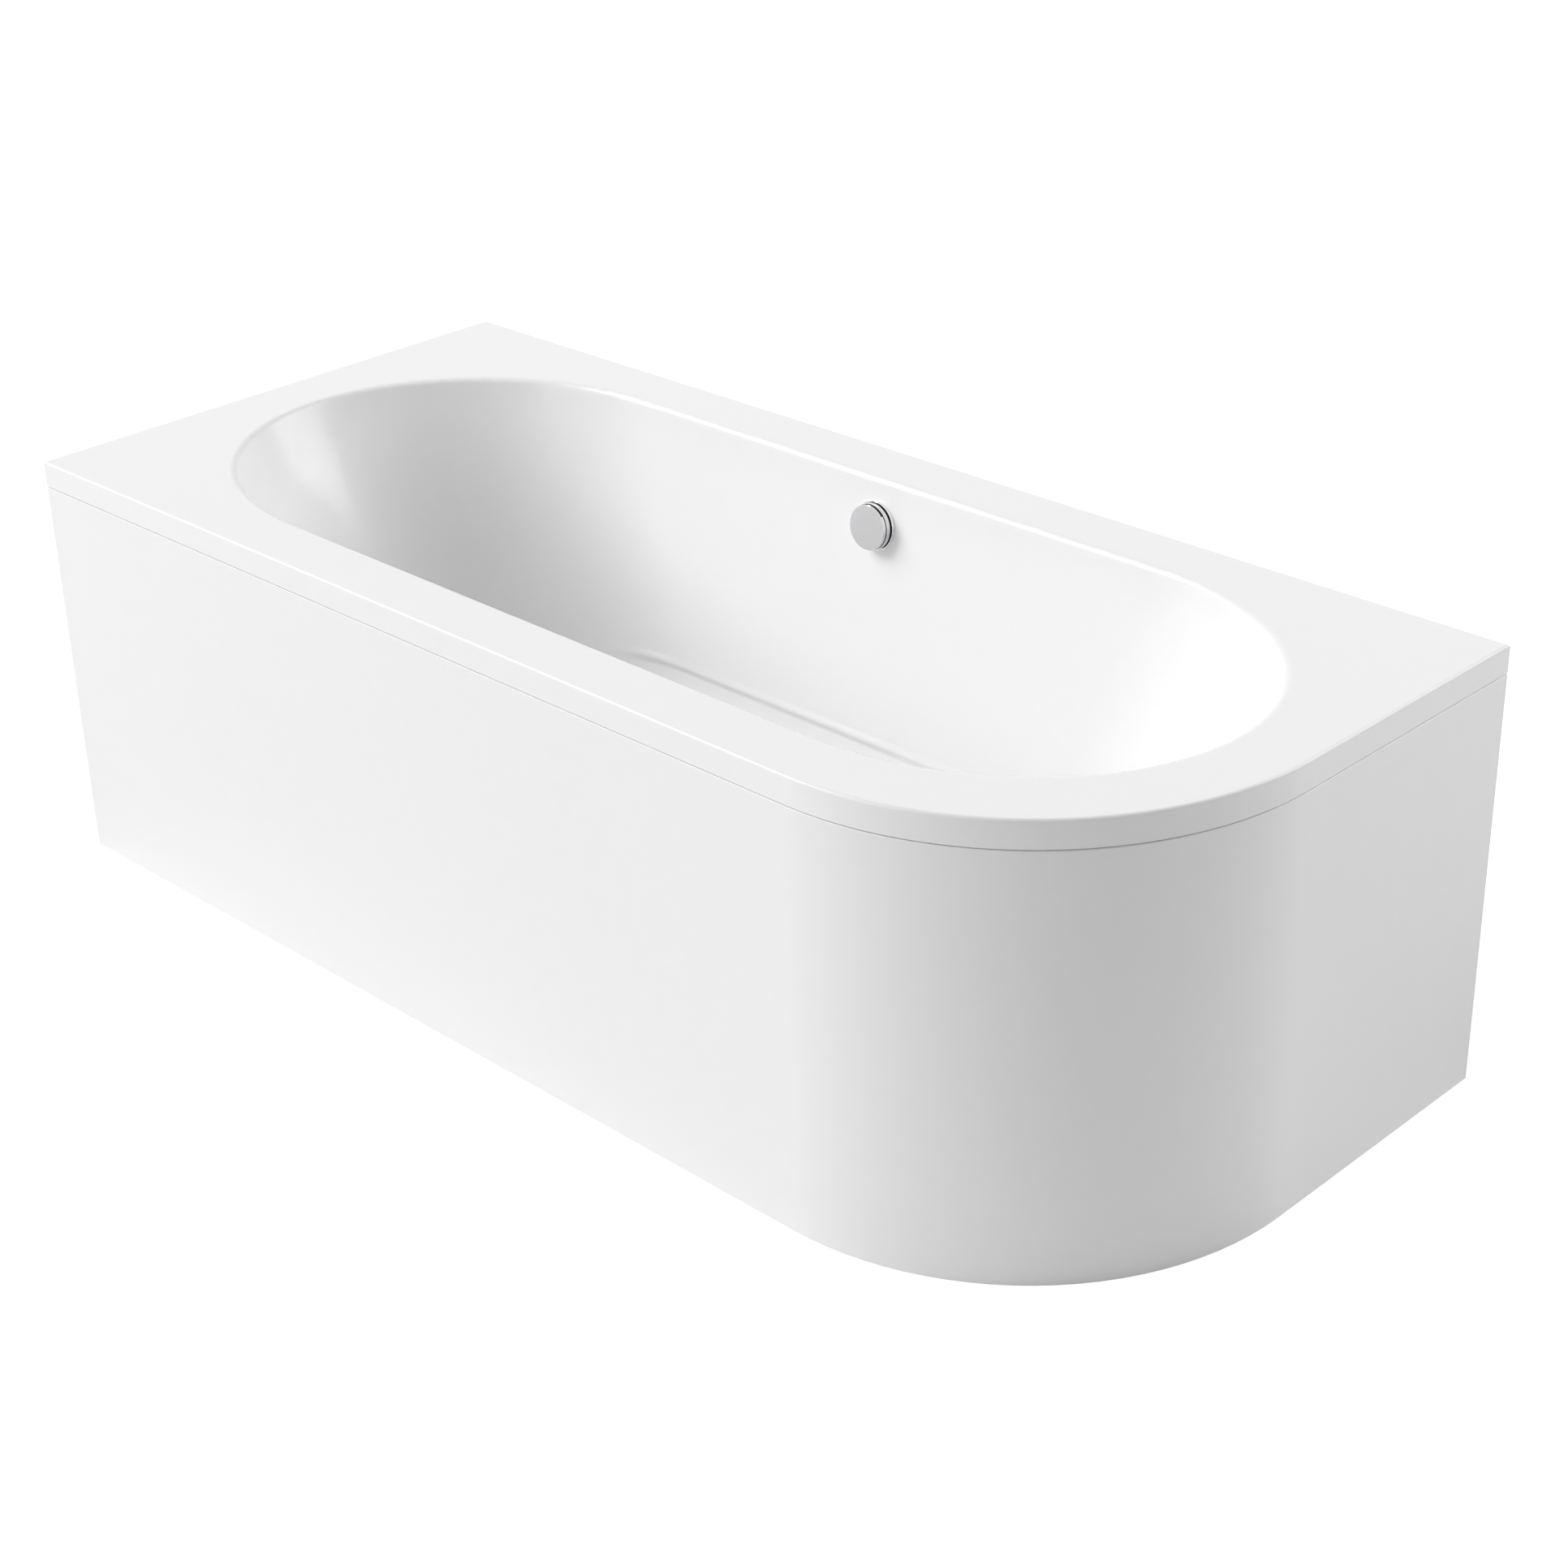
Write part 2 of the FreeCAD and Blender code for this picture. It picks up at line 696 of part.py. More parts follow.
def make_bath_panel():
    """One skin round the front, the corner and the end, hooked up behind the rim."""
    body = new_body("bath_panel")
    pad(body, panel_strip(body, "skin", 0, s.panel_wall, 0, 0), panel_top)
    top_flange = panel_strip(body, "top_flange", 0, s.panel_flange, 0, panel_top)
    pad(body, top_flange, s.panel_wall, reverse=True)
    pad(body, panel_strip(body, "foot_flange", 0, s.panel_foot_flange, 0, 0), s.panel_wall)
    left_return = new_sketch(body, "left_return")
    rectangle(left_return, -end_x, -end_x + s.panel_wall, -side_y, -side_y + s.panel_return)
    pad(body, left_return, panel_top)
    back_return = new_sketch(body, "back_return")
    rectangle(back_return, end_x - s.panel_return, end_x, side_y - s.panel_wall, side_y)
    pad(body, back_return, panel_top)
    tongue = panel_strip(
        body, "tongue", tongue_inset, tongue_inset + s.panel_wall, tongue_inset, panel_top - s.panel_wall
    )
    upstand = pad(body, tongue, s.panel_wall + s.panel_gap + s.tongue_height)

    def outside(edge):
        middle = edge.valueAt((edge.FirstParameter + edge.LastParameter) / 2)
        off_the_walls = middle.x > LEVEL_TOLERANCE - end_x.value and middle.y < side_y.value - LEVEL_TOLERANCE
        return off_the_walls and on_outline(edge, 0)

    rounded(body, "edge_round", upstand, level_edges(upstand, panel_top, outside), s.panel_edge_fillet)
    strips = []
    count = DRIVING["stiffener_count"]
    pitch = (arc_x + end_x) / count
    for number in range(count):
        middle = (number + 0.5) * pitch - end_x
        left = middle - s.stiffener_width / 2
        strips.append(
            block(
                f"stiffener_{number}",
                (left, left + s.stiffener_width),
                (s.panel_wall - side_y, s.panel_wall + s.stiffener_thickness - side_y),
                (s.panel_wall, panel_top - s.panel_wall),
            )
        )
    strips.append(
        block(
            "stiffener_end",
            (end_x - s.panel_wall - s.stiffener_thickness, end_x - s.panel_wall),
            ((side_y - s.stiffener_width) / 2, (side_y + s.stiffener_width) / 2),
            (s.panel_wall, panel_top - s.panel_wall),
        )
    )
    keep(group("panel_stiffeners", strips))


def make_base_board():
    """The chipboard under the flat of the well, cut away round the waste."""
    body = new_body("base_board")
    x, y, corner = floor_x - s.board_inset, floor_y - s.board_inset, s.board_corner
    corners = [
        (-x + corner, -y), (x - corner, -y), (x, -y + corner), (x, y - corner),
        (x - corner, y), (-x + corner, y), (-x, y - corner), (-x, -y + corner),
    ]
    arcs = {
        1: (corner, x - corner, -y + corner),
        3: (corner, x - corner, y - corner),
        5: (corner, -x + corner, y - corner),
        7: (corner, -x + corner, -y + corner),
    }
    board = closed_outline(new_sketch(body, "board", height=board_under), corners, arcs)
    pad(body, board, s.board_thickness)
    cutout = new_sketch(body, "cutout", height=board_under)
    circles(cutout, s.waste_seal_radius + s.board_cutout_play, [(0, waste_y)])
    pocket(body, cutout, s.board_thickness, reverse=True)
    pilots = new_sketch(body, "pilots", height=board_under)
    circles(pilots, s.screw_radius + s.screw_play, cradle_screw_spots())
    pocket(body, pilots, s.screw_length, reverse=True)


def cradle_screw_spots():
    spots = []
    for x in (-cradle_x, cradle_x):
        spots += [(x, -s.screw_inset), (x, s.screw_inset)]
    return spots


def make_battens():
    """Timber glued under the rim, two at the walls and two behind the panel."""
    wall_z = (plate_under - s.wall_batten_height, plate_under)
    front_z = (plate_under - s.front_batten_height, plate_under)
    back_y = (side_y - s.shell_wall - s.batten_width, side_y - s.shell_wall)
    left_x = (s.shell_wall - end_x, s.shell_wall + s.batten_width - end_x)
    front_y = (batten_inset - side_y, batten_inset + s.batten_width - side_y)
    right_x = (end_x - batten_inset - s.batten_width, end_x - batten_inset)
    back = block("back_timber", (left_x[0], end_x - batten_inset), back_y, wall_z)
    pilots = [
        rod(f"bracket_pilot_{number}", s.screw_radius + s.screw_play, x, bracket_screw_y(),
            (wall_z[0], wall_z[0] + s.screw_length))
        for number, x in enumerate(bracket_spots())
    ]
    keep(joined("Cut", "rim_batten_back", back, group("bracket_pilots", pilots)))
    keep(block("rim_batten_left", left_x, (front_y[0], back_y[0]), wall_z))
    keep(block("rim_batten_front", (left_x[1], arc_x), front_y, front_z))
    keep(block("rim_batten_right", right_x, (arc_y, back_y[0]), front_z))


def bracket_spots():
    return (-bracket_x, bracket_x)


def bracket_screw_y():
    return side_y - s.shell_wall - s.batten_width / 2


def make_wall_brackets():
    """Two steel angles that screw up into the back batten and to the wall."""
    for side, x in zip(("left", "right"), bracket_spots()):
        body = new_body(f"wall_bracket_{side}")
        place(body, x)
        wall, bend = s.bracket_wall, s.bracket_bend
        fold_y, fold_z = side_y - wall - bend, bracket_top - wall - bend
        corners = [
            (side_y - s.bracket_reach - wall, bracket_top - wall),
            (fold_y, bracket_top - wall),
            (side_y - wall, fold_z),
            (side_y - wall, bracket_top - s.bracket_leg),
            (side_y, bracket_top - s.bracket_leg),
            (side_y, fold_z),
            (fold_y, bracket_top),
            (side_y - s.bracket_reach - wall, bracket_top),
        ]
        folds = {1: (bend, fold_y, fold_z), 5: (bend + wall, fold_y, fold_z)}
        angle = closed_outline(new_sketch(body, "angle", "YZ_Plane"), corners, folds)
        pad(body, angle, s.bracket_width, both_ways=True)
        wall_holes = new_sketch(body, "wall_holes", "XZ_Plane", -side_y)
        half = s.bracket_hole_spacing / 2
        circles(wall_holes, s.bracket_hole_radius, [(-half, bracket_hole_z), (half, bracket_hole_z)])
        pocket(body, wall_holes, 2 * wall, both_ways=True)
        screw_hole = new_sketch(body, "screw_hole", height=bracket_top)
        circles(screw_hole, s.screw_radius + s.screw_play, [(0, bracket_screw_y())])
        pocket(body, screw_hole, wall)


def screws(name, spots, head_top):
    """Pan-head screws that point up, with their heads' upper faces at one height."""
    made = []
    for number, (x, y) in enumerate(spots):
        head = rod(f"{name}_head_{number}", s.screw_head_radius, x, y,
                   (head_top - s.screw_head_height, head_top))
        shank = rod(f"{name}_shank_{number}", s.screw_radius, x, y,
                    (head_top, head_top + s.screw_length))
        made.append(joined("Fuse", f"{name}_{number}", head, shank))
    keep(group(name, made))


def make_cradles():
    """Two folded steel channels across the board, open downwards, for the feet."""
    for side, x in (("left", -cradle_x), ("right", cradle_x)):
        body = new_body(f"cradle_{side}")
        place(body, x, 0, board_under)
        half, wall, bend, low = s.cradle_width / 2, s.cradle_wall, s.cradle_bend, -s.cradle_height
        fold_x, fold_z = half - wall - bend, -(wall + bend)
        corners = [
            (-half, low), (-half + wall, low), (-half + wall, fold_z), (-fold_x, -wall),
            (fold_x, -wall), (half - wall, fold_z), (half - wall, low), (half, low),
            (half, fold_z), (fold_x, 0), (-fold_x, 0), (-half, fold_z),
        ]
        folds = {
            2: (bend, -fold_x, fold_z),
            4: (bend, fold_x, fold_z),
            8: (bend + wall, fold_x, fold_z),
            10: (bend + wall, -fold_x, fold_z),
        }
        channel = closed_outline(new_sketch(body, "channel", "XZ_Plane"), corners, folds)
        pad(body, channel, 2 * cradle_reach, both_ways=True)
        stud_holes = new_sketch(body, "stud_holes")
        circles(stud_holes, s.stud_radius + s.stud_hole_play, [(0, -foot_y), (0, foot_y)])
        pocket(body, stud_holes, wall)
        screw_holes = new_sketch(body, "screw_holes")
        inset = s.screw_inset
        circles(screw_holes, s.screw_radius + s.screw_play, [(0, -inset), (0, inset)])
        pocket(body, screw_holes, wall)
    screws("cradle_screws", cradle_screw_spots(), board_under - s.cradle_wall)
    screws("bracket_screws", [(x, bracket_screw_y()) for x in bracket_spots()],
           bracket_top - s.bracket_wall)


def make_feet():
    """Four threaded studs on round pads, each clamped to its channel by two nuts."""
    nuts = []
    for side, x in (("left", -cradle_x), ("right", cradle_x)):
        for end, y in (("front", -foot_y), ("back", foot_y)):
            where = f"{end}_{side}"
            keep(rod(f"foot_stud_{where}", s.stud_radius, x, y, (s.pad_rim, stud_top)))
            body = new_body(f"foot_pad_{where}")
            place(body, x, y)
            top = s.pad_height + s.pad_boss_height
            socket = s.stud_radius + s.screw_play
            turned(body, "pad", [
                (0, 0), (s.pad_radius, 0), (s.pad_radius, s.pad_rim),
                (s.pad_boss_radius, s.pad_height), (s.pad_boss_radius, top),
                (socket, top), (socket, s.pad_rim), (0, s.pad_rim),
            ])
            rib = closed_outline(new_sketch(body, "rib", "XZ_Plane"), [
                ((socket + s.pad_boss_radius) / 2, s.pad_rim),
                (s.pad_radius - s.pad_rib_inset, s.pad_rim),
                ((socket + s.pad_boss_radius) / 2, top - s.pad_rib_inset),
            ])
            ribs = feature(body, "PolarPattern", "ribs")
            ribs.Originals = [pad(body, rib, s.pad_rib_width, both_ways=True)]
            ribs.Axis = (rib, ["V_Axis"])
            ribs.Occurrences = DRIVING["pad_rib_count"]
            body.Tip = ribs
            for level, z in (("low", board_under - s.cradle_wall - s.nut_height), ("high", board_under)):
                name = f"{level}_{where}"
                hexagon = simple("Prism", f"hexagon_{name}",
                                 {"Circumradius": s.nut_radius, "Height": s.nut_height})
                place(hexagon, x, y, z)
                bore = rod(f"bore_{name}", s.stud_radius + s.thread_play, x, y, (z, z + s.nut_height))
                nuts.append(joined("Cut", f"nut_{name}", hexagon, bore))
    keep(group("foot_lock_nuts", nuts))


def make_overflow():
    """The overflow through the back wall, behind its chrome rose."""
    rose = new_body("overflow_rose")
    on_overflow(rose)
    bore = sleeve_radius - s.sleeve_wall
    turned(rose, "rose", [
        (bore, sleeve_end), (sleeve_radius, sleeve_end), (sleeve_radius, 0), (s.rose_radius, 0),
        (s.rose_radius, s.rose_thickness - s.rose_bevel),
        (s.rose_radius - s.rose_bevel, s.rose_thickness), (bore, s.rose_thickness),
    ])

    seal = new_body("overflow_seal")
    on_overflow(seal)
    turned(seal, "seal", [
        (s.overflow_hole_radius, overflow_front), (s.seal_radius, overflow_front),
        (s.seal_radius, -s.shell_wall), (s.overflow_hole_radius, -s.shell_wall),
    ])

    body = new_body("overflow_elbow")
    on_overflow(body)
    radius = s.overflow_body_radius
    boss_end = overflow_back - s.boss_length
    turned(body, "housing", [
        (0, boss_end), (s.boss_radius, boss_end), (s.boss_radius, overflow_back),
        (radius, overflow_back), (radius, overflow_front), (0, overflow_front),
    ])
    spigot = new_sketch(body, "spigot", "XZ_Plane")
    pad(body, circles(spigot, s.hose_radius, [(0, hose_line)]), s.spigot_length)
    lug = new_sketch(body, "lug", "XZ_Plane", s.lug_top)
    half = s.lug_width / 2
    rectangle(lug, s.cable_side - half, s.cable_side + half, overflow_back - s.lug_depth, overflow_back)
    pad(body, lug, s.lug_height)
    neck = sleeve_radius + s.thread_play
    hollow = radius - s.moulding_wall
    cavity_back = overflow_back + s.moulding_wall
    turned(body, "cavity", [
        (0, cavity_back), (hollow, cavity_back), (hollow, sleeve_end), (neck, sleeve_end),
        (neck, overflow_front), (0, overflow_front),
    ], cut=True)
    bearing = s.spindle_radius + s.spindle_play
    turned(body, "bearing", [
        (0, boss_end), (bearing, boss_end), (bearing, cavity_back), (0, cavity_back),
    ], cut=True)
    waterway = new_sketch(body, "waterway", "XZ_Plane")
    pocket(body, circles(waterway, s.hose_bore_radius, [(0, hose_line)]), s.spigot_length, reverse=True)
    cable_hole = new_sketch(body, "cable_hole", "XZ_Plane", s.lug_top)
    circles(cable_hole, s.cable_radius + s.ring_play, [(s.cable_side, cable_line)])
    pocket(body, cable_hole, s.lug_height, reverse=True)


def make_knob():
    """The round control knob, its spindle and the crank that pushes the cable."""
    knob = new_body("overflow_knob")
    on_overflow(knob)
    radius = s.knob_radius
    ring_front = knob_back + s.knob_ring_thickness
    disc = radius - s.knob_disc_inset
    groove = radius - s.knob_groove_depth
    hollow = groove - s.knob_wall
    turned(knob, "knob", [
        (s.spindle_radius, knob_back), (s.knob_hub_radius, knob_back),
        (s.knob_hub_radius, knob_disc_back), (hollow, knob_disc_back), (hollow, knob_back),
        (radius, knob_back), (radius, ring_front), (groove, ring_front), (groove, knob_disc_back),
        (disc, knob_disc_back), (disc, knob_face - s.knob_bevel), (disc - s.knob_bevel, knob_face),
        (0, knob_face), (0, knob_disc_back), (s.spindle_radius, knob_disc_back),
    ])

    crank_back = crank_front - s.crank_thickness
    spindle = simple("Cylinder", "overflow_spindle",
                     {"Radius": s.spindle_radius, "Height": knob_disc_back - crank_back})
    on_overflow(spindle, crank_back)
    keep(spindle)

    crank = new_body("overflow_crank")
    on_overflow(crank)
    turned(crank, "hub", [
        (s.spindle_radius, crank_back), (s.crank_hub_radius, crank_back),
        (s.crank_hub_radius, crank_front), (s.spindle_radius, crank_front),
    ])
    half_turn = s.knob_turn / 2
    tip = (s.crank_reach * cosine_of(half_turn), s.crank_reach * sine_of(half_turn))
    arm(crank, "arm", "XY_Plane", crank_back, (0, 0), tip, s.crank_tip_radius, s.crank_thickness,
        start=s.spindle_radius + s.crank_web_inset)
    pin = circles(new_sketch(crank, "pin", height=crank_back), s.crank_pin_radius, [tip])
    pad(crank, pin, s.crank_pin_length, reverse=True)


class Route:
    """A run down beside the wall, one bend and a level run forwards to the waste."""

    def __init__(self, line, first, level, bend, finish):
        lean = math.atan(wall_slope.value)
        into_well = FreeCAD.Vector(0, -math.cos(lean), math.sin(lean))
        self.down = FreeCAD.Vector(0, -math.sin(lean), -math.cos(lean))
        middle = FreeCAD.Vector(0, overflow_y.value, overflow_z.value)
        self.start = middle + into_well * line.value + self.down * first.value
        corner = self.start + self.down * ((self.start.z - level.value) / math.cos(lean))
        setback = bend.value * math.tan((math.pi / 2 - lean) / 2)
        self.turn = math.pi / 2 - lean
        self.bend = bend.value
        self.first_run = (corner - self.start).Length - setback
        self.bend_start = self.start + self.down * self.first_run
        self.bend_end = corner - Y_AXIS * setback
        self.centre = self.bend_end + Z_AXIS * self.bend
        self.finish = FreeCAD.Vector(0, finish.value, level.value)
        self.last_run = (self.bend_end - self.finish).Length
        self.length = self.first_run + self.bend * self.turn + self.last_run

    def at(self, distance):
        """The point and the direction at a distance along the route."""
        if distance <= self.first_run:
            return self.start + self.down * distance, self.down
        beyond = distance - self.first_run
        if beyond >= self.bend * self.turn:
            return self.bend_end - Y_AXIS * (beyond - self.bend * self.turn), -Y_AXIS
        swung = FreeCAD.Rotation(-X_AXIS, math.degrees(beyond / self.bend))
        point = self.centre + swung.multVec(self.bend_start - self.centre)
        return point, swung.multVec(self.down)

    def circle(self, distance, radius):
        """A circle square to the route, with its own X axis level."""
        point, direction = self.at(distance)
        edge = Part.Circle(FreeCAD.Vector(), Z_AXIS, radius).toShape()
        tilt = math.degrees(math.atan2(-direction.y, direction.z))
        edge.Placement = FreeCAD.Placement(point, FreeCAD.Rotation(X_AXIS, tilt))
        return Part.Wire([edge])

    def tube(self, radius):
        """A round solid along the whole route."""
        halfway, _ = self.at(self.first_run + self.bend * self.turn / 2)
        spine = Part.Wire([
            Part.makeLine(self.start, self.bend_start),
            Part.Arc(self.bend_start, halfway, self.bend_end).toShape(),
            Part.makeLine(self.bend_end, self.finish),
        ])
        return spine.makePipeShell([self.circle(0, radius)], True, False)


def shaped(name, shape, shift=None):
    """A sub-part whose form no plain feature gives."""
    made = doc.addObject("Part::Feature", name)
    made.Shape = shape
    made.Placement = FreeCAD.Placement(shift or FreeCAD.Vector(), FreeCAD.Rotation())
    keep(made)


def make_hose():
    """The ribbed hose from the overflow to the waste, with plain ends under its ring nuts."""
    route = Route(
        hose_line, s.spigot_length, inlet_z, s.hose_bend, waste_y + s.inlet_length
    )
    crest = s.hose_radius.value
    valley = crest - s.hose_rib_depth.value
    plain = s.hose_plain_end.value
    assert min(route.first_run, route.last_run) >= plain, "an end of the hose is bent"
    ribs = int((route.length - 2 * plain) / s.hose_rib_pitch.value)
    pitch = (route.length - 2 * plain) / ribs
    wave = ((0, crest), (VALLEY_START, valley), (VALLEY_END, valley), (CREST_START, crest))
    rings = [route.circle(0, crest)]
    for number in range(ribs):
        for share, radius in wave:
            rings.append(route.circle(plain + (number + share) * pitch, radius))
    rings.append(route.circle(route.length, crest))
    outer = Part.makeLoft(rings, True, True)
    shaped("overflow_hose", outer.cut(route.tube(s.hose_bore_radius.value)))
    print(f"hose {route.length:.0f} mm long with {ribs} ribs")

    nut = new_body("hose_nut_top")
    on_overflow(nut)
    hose_nut(nut, s.spigot_length - s.nut_ring_length / 2, (0, hose_line))
    low = new_body("hose_nut_low")
    place(low, 0, waste_y)
    hose_nut(low, -(s.inlet_length + s.nut_ring_length / 2), (0, inlet_z))


def hose_nut(body, start, centre):
    """A ring nut half over the hose's plain end and half over the pipe that it meets."""
    ring = new_sketch(body, "ring", "XZ_Plane", start)
    circles(ring, s.nut_ring_radius, [centre])
    circles(ring, s.hose_radius + s.ring_play, [centre])
    pad(body, ring, s.nut_ring_length)
    reach = s.nut_ring_radius + s.nut_grip_radius - s.nut_grip_depth
    count = DRIVING["nut_grip_count"]
    spots = []
    for number in range(count):
        angle = as_size(FULL_TURN * number / count)
        spots.append((centre[0] + reach * cosine_of(angle), centre[1] + reach * sine_of(angle)))
    grips = circles(new_sketch(body, "grips", "XZ_Plane", start + s.nut_collar), s.nut_grip_radius, spots)
    pocket(body, grips, s.nut_ring_length, reverse=True)


def make_cable():
    """The control cable's outer casing, its end ferrules and the clips on the hose."""
    route = Route(
        cable_line, s.lug_top, cable_z, s.hose_bend + s.cable_offset, waste_y + s.waste_body_radius
    )
    cable = route.tube(s.cable_radius.value)
    shaped("control_cable", cable, FreeCAD.Vector(s.cable_side.value, 0, 0))
    print(f"control cable {route.length:.0f} mm long")

    bore = s.cable_radius + s.ring_play
    top = new_body("cable_gland_top")
    on_overflow(top)
    ferrule = new_sketch(top, "ferrule", "XZ_Plane", s.lug_top + s.lug_height)
    circles(ferrule, s.cable_gland_radius, [(s.cable_side, cable_line)])
    circles(ferrule, bore, [(s.cable_side, cable_line)])
    pad(top, ferrule, s.cable_gland_length)
    low = new_body("cable_gland_low")
    place(low, 0, waste_y)
    ferrule = new_sketch(low, "ferrule", "XZ_Plane", -s.cable_boss_length)
    circles(ferrule, s.cable_gland_radius, [(s.cable_side, cable_z)])
    circles(ferrule, bore, [(s.cable_side, cable_z)])
    pad(low, ferrule, s.cable_gland_length, reverse=True)

    for name, along in (("top", s.clip_first), ("low", s.clip_first + s.clip_pitch)):
        clip = new_body(f"cable_clip_{name}")
        on_overflow(clip)
        height = s.spigot_length + along
        collar = s.hose_radius + s.ring_play
        pad(clip, circles(new_sketch(clip, "collar", "XZ_Plane", height), collar + s.clip_wall,
                          [(0, hose_line)]), s.clip_width)
        arm(clip, "link", "XZ_Plane", height, (0, hose_line), (s.cable_side, cable_line),
            bore + s.clip_wall, s.clip_width)
        for part, radius, centre in (
            ("hose_bore", collar, (0, hose_line)),
            ("cable_bore", bore, (s.cable_side, cable_line)),
        ):
            hole = circles(new_sketch(clip, part, "XZ_Plane", height), radius, [centre])
            pocket(clip, hole, s.clip_width, reverse=True)


def on_waste(label):
    body = new_body(label)
    place(body, 0, waste_y)
    return body


def make_waste():
    """The waste fitting through the flat of the well, with its pop-up plug and lever."""
    flange = on_waste("waste_flange")
    sleeve = s.waste_hole_radius - s.hole_play
    sleeve_low = floor_top - s.waste_sleeve_length
    bore = s.waste_bore_radius
    turned(flange, "flange", [
        (bore, sleeve_low), (sleeve, sleeve_low), (sleeve, floor_top),
        (s.waste_flange_radius, floor_top), (s.waste_flange_radius, flange_top - s.rose_bevel),
        (s.waste_flange_radius - s.rose_bevel, flange_top), (bore, flange_top),
    ])
    half = s.guide_rib / 2
    reach = (bore + sleeve) / 2
    for name, x, y in (("rib_across", reach, half), ("rib_along", half, reach)):
        rib = rectangle(new_sketch(flange, name, height=sleeve_low), -x, x, -y, y)
        pad(flange, rib, s.guide_height)
    guide = s.stem_radius + s.spindle_play
    boss = circles(new_sketch(flange, "guide", height=sleeve_low), guide + s.guide_boss_wall)
    pad(flange, boss, s.guide_height)
    guide_bore = circles(new_sketch(flange, "guide_bore", height=sleeve_low), guide)
    pocket(flange, guide_bore, s.guide_height, reverse=True)

    seal = on_waste("waste_seal")
    turned(seal, "seal", [
        (s.waste_hole_radius, waste_top), (s.waste_seal_radius, waste_top),
        (s.waste_seal_radius, floor_under), (s.waste_hole_radius, floor_under),
    ])

    body = on_waste("waste_body")
    radius = s.waste_body_radius
    rim_low = waste_top - s.waste_rim_thickness
    turned(body, "housing", [
        (0, tail_low), (s.tail_radius, tail_low), (s.tail_radius, waste_low), (radius, waste_low),
        (radius, rim_low), (s.waste_seal_radius, rim_low), (s.waste_seal_radius, waste_top),
        (0, waste_top),
    ])
    inlet = circles(new_sketch(body, "inlet", "XZ_Plane"), s.hose_radius, [(0, inlet_z)])
    pad(body, inlet, s.inlet_length, reverse=True)
    cable_boss = circles(new_sketch(body, "cable_boss", "XZ_Plane"), s.cable_gland_radius,
                         [(s.cable_side, cable_z)])
    pad(body, cable_boss, s.cable_boss_length, reverse=True)
    pivots = circles(new_sketch(body, "pivots", "YZ_Plane"), s.pivot_boss_radius, [(pivot_y, pivot_z)])
    pad(body, pivots, 2 * s.pivot_boss_reach, both_ways=True)
    wall = s.moulding_wall
    neck = sleeve + s.thread_play
    neck_low = waste_top - s.waste_neck_depth
    turned(body, "cavity", [
        (0, tail_low), (s.tail_bore_radius, tail_low), (s.tail_bore_radius, waste_low + wall),
        (radius - wall, waste_low + wall), (radius - wall, neck_low), (neck, neck_low),
        (neck, waste_top), (0, waste_top),
    ], cut=True)
    inlet_bore = circles(new_sketch(body, "inlet_bore", "XZ_Plane"), s.hose_bore_radius, [(0, inlet_z)])
    pocket(body, inlet_bore, s.inlet_length)
    cable_bore = circles(new_sketch(body, "cable_bore", "XZ_Plane"), s.cable_radius + s.ring_play,
                         [(s.cable_side, cable_z)])
    pocket(body, cable_bore, s.cable_boss_length)
    pivot_bore = circles(new_sketch(body, "pivot_bore", "YZ_Plane"), s.lever_radius + s.spindle_play,
                         [(pivot_y, pivot_z)])
    pocket(body, pivot_bore, 2 * (s.pivot_reach + s.lever_play), both_ways=True)

    lever = on_waste("waste_lever")
    shaft = circles(new_sketch(lever, "shaft", "YZ_Plane"), s.lever_radius, [(pivot_y, pivot_z)])
    pad(lever, shaft, 2 * s.pivot_reach, both_ways=True)
    arm(lever, "nose", "YZ_Plane", 0, (pivot_y, pivot_z), (0, nose_z), s.lever_radius, s.lever_width,
        both_ways=True)
    pushed = (pivot_y + lever_arm * swing_sine, cable_z)
    arm(lever, "push", "YZ_Plane", s.cable_side, (pivot_y, pivot_z), pushed, s.lever_radius,
        s.lever_width, both_ways=True)


def make_plug():
    """The domed plug on its stem and the seal in its neck."""
    plug = on_waste("waste_plug")
    under = flange_top + s.plug_gap
    edge_top = under + s.plug_edge
    neck_low = under - s.plug_neck_depth
    seal_low = neck_low + (s.plug_neck_depth - s.plug_seal_height) / 2
    seal_top = seal_low + s.plug_seal_height
    groove = s.plug_neck_radius - s.plug_seal_depth
    radius, dome = s.plug_radius, s.plug_dome
    centre_drop = (radius * radius - dome * dome) / (2 * dome)
    corners = [
        (0, stem_low), (s.stem_tip_radius, stem_low),
        (s.stem_radius, stem_low + s.stem_tip_height), (s.stem_radius, neck_low),
        (s.plug_neck_radius, neck_low), (s.plug_neck_radius, seal_low), (groove, seal_low),
        (groove, seal_top), (s.plug_neck_radius, seal_top), (s.plug_neck_radius, under),
        (radius, under), (radius, edge_top), (0, edge_top + dome),
    ]
    arcs = {11: (centre_drop + dome, 0, edge_top - centre_drop)}
    turned(plug, "plug", corners, arcs=arcs)
    ring = on_waste("waste_plug_seal")
    inner = groove + s.screw_play
    outer = s.waste_bore_radius - s.plug_seal_play
    turned(ring, "ring", [(inner, seal_low), (outer, seal_low), (outer, seal_top), (inner, seal_top)])


make_bath_shell()
make_bath_panel()
make_base_board()
make_battens()
make_wall_brackets()
make_cradles()
make_feet()
make_overflow()
make_knob()
make_hose()
make_cable()
make_waste()
make_plug()
doc.recompute()

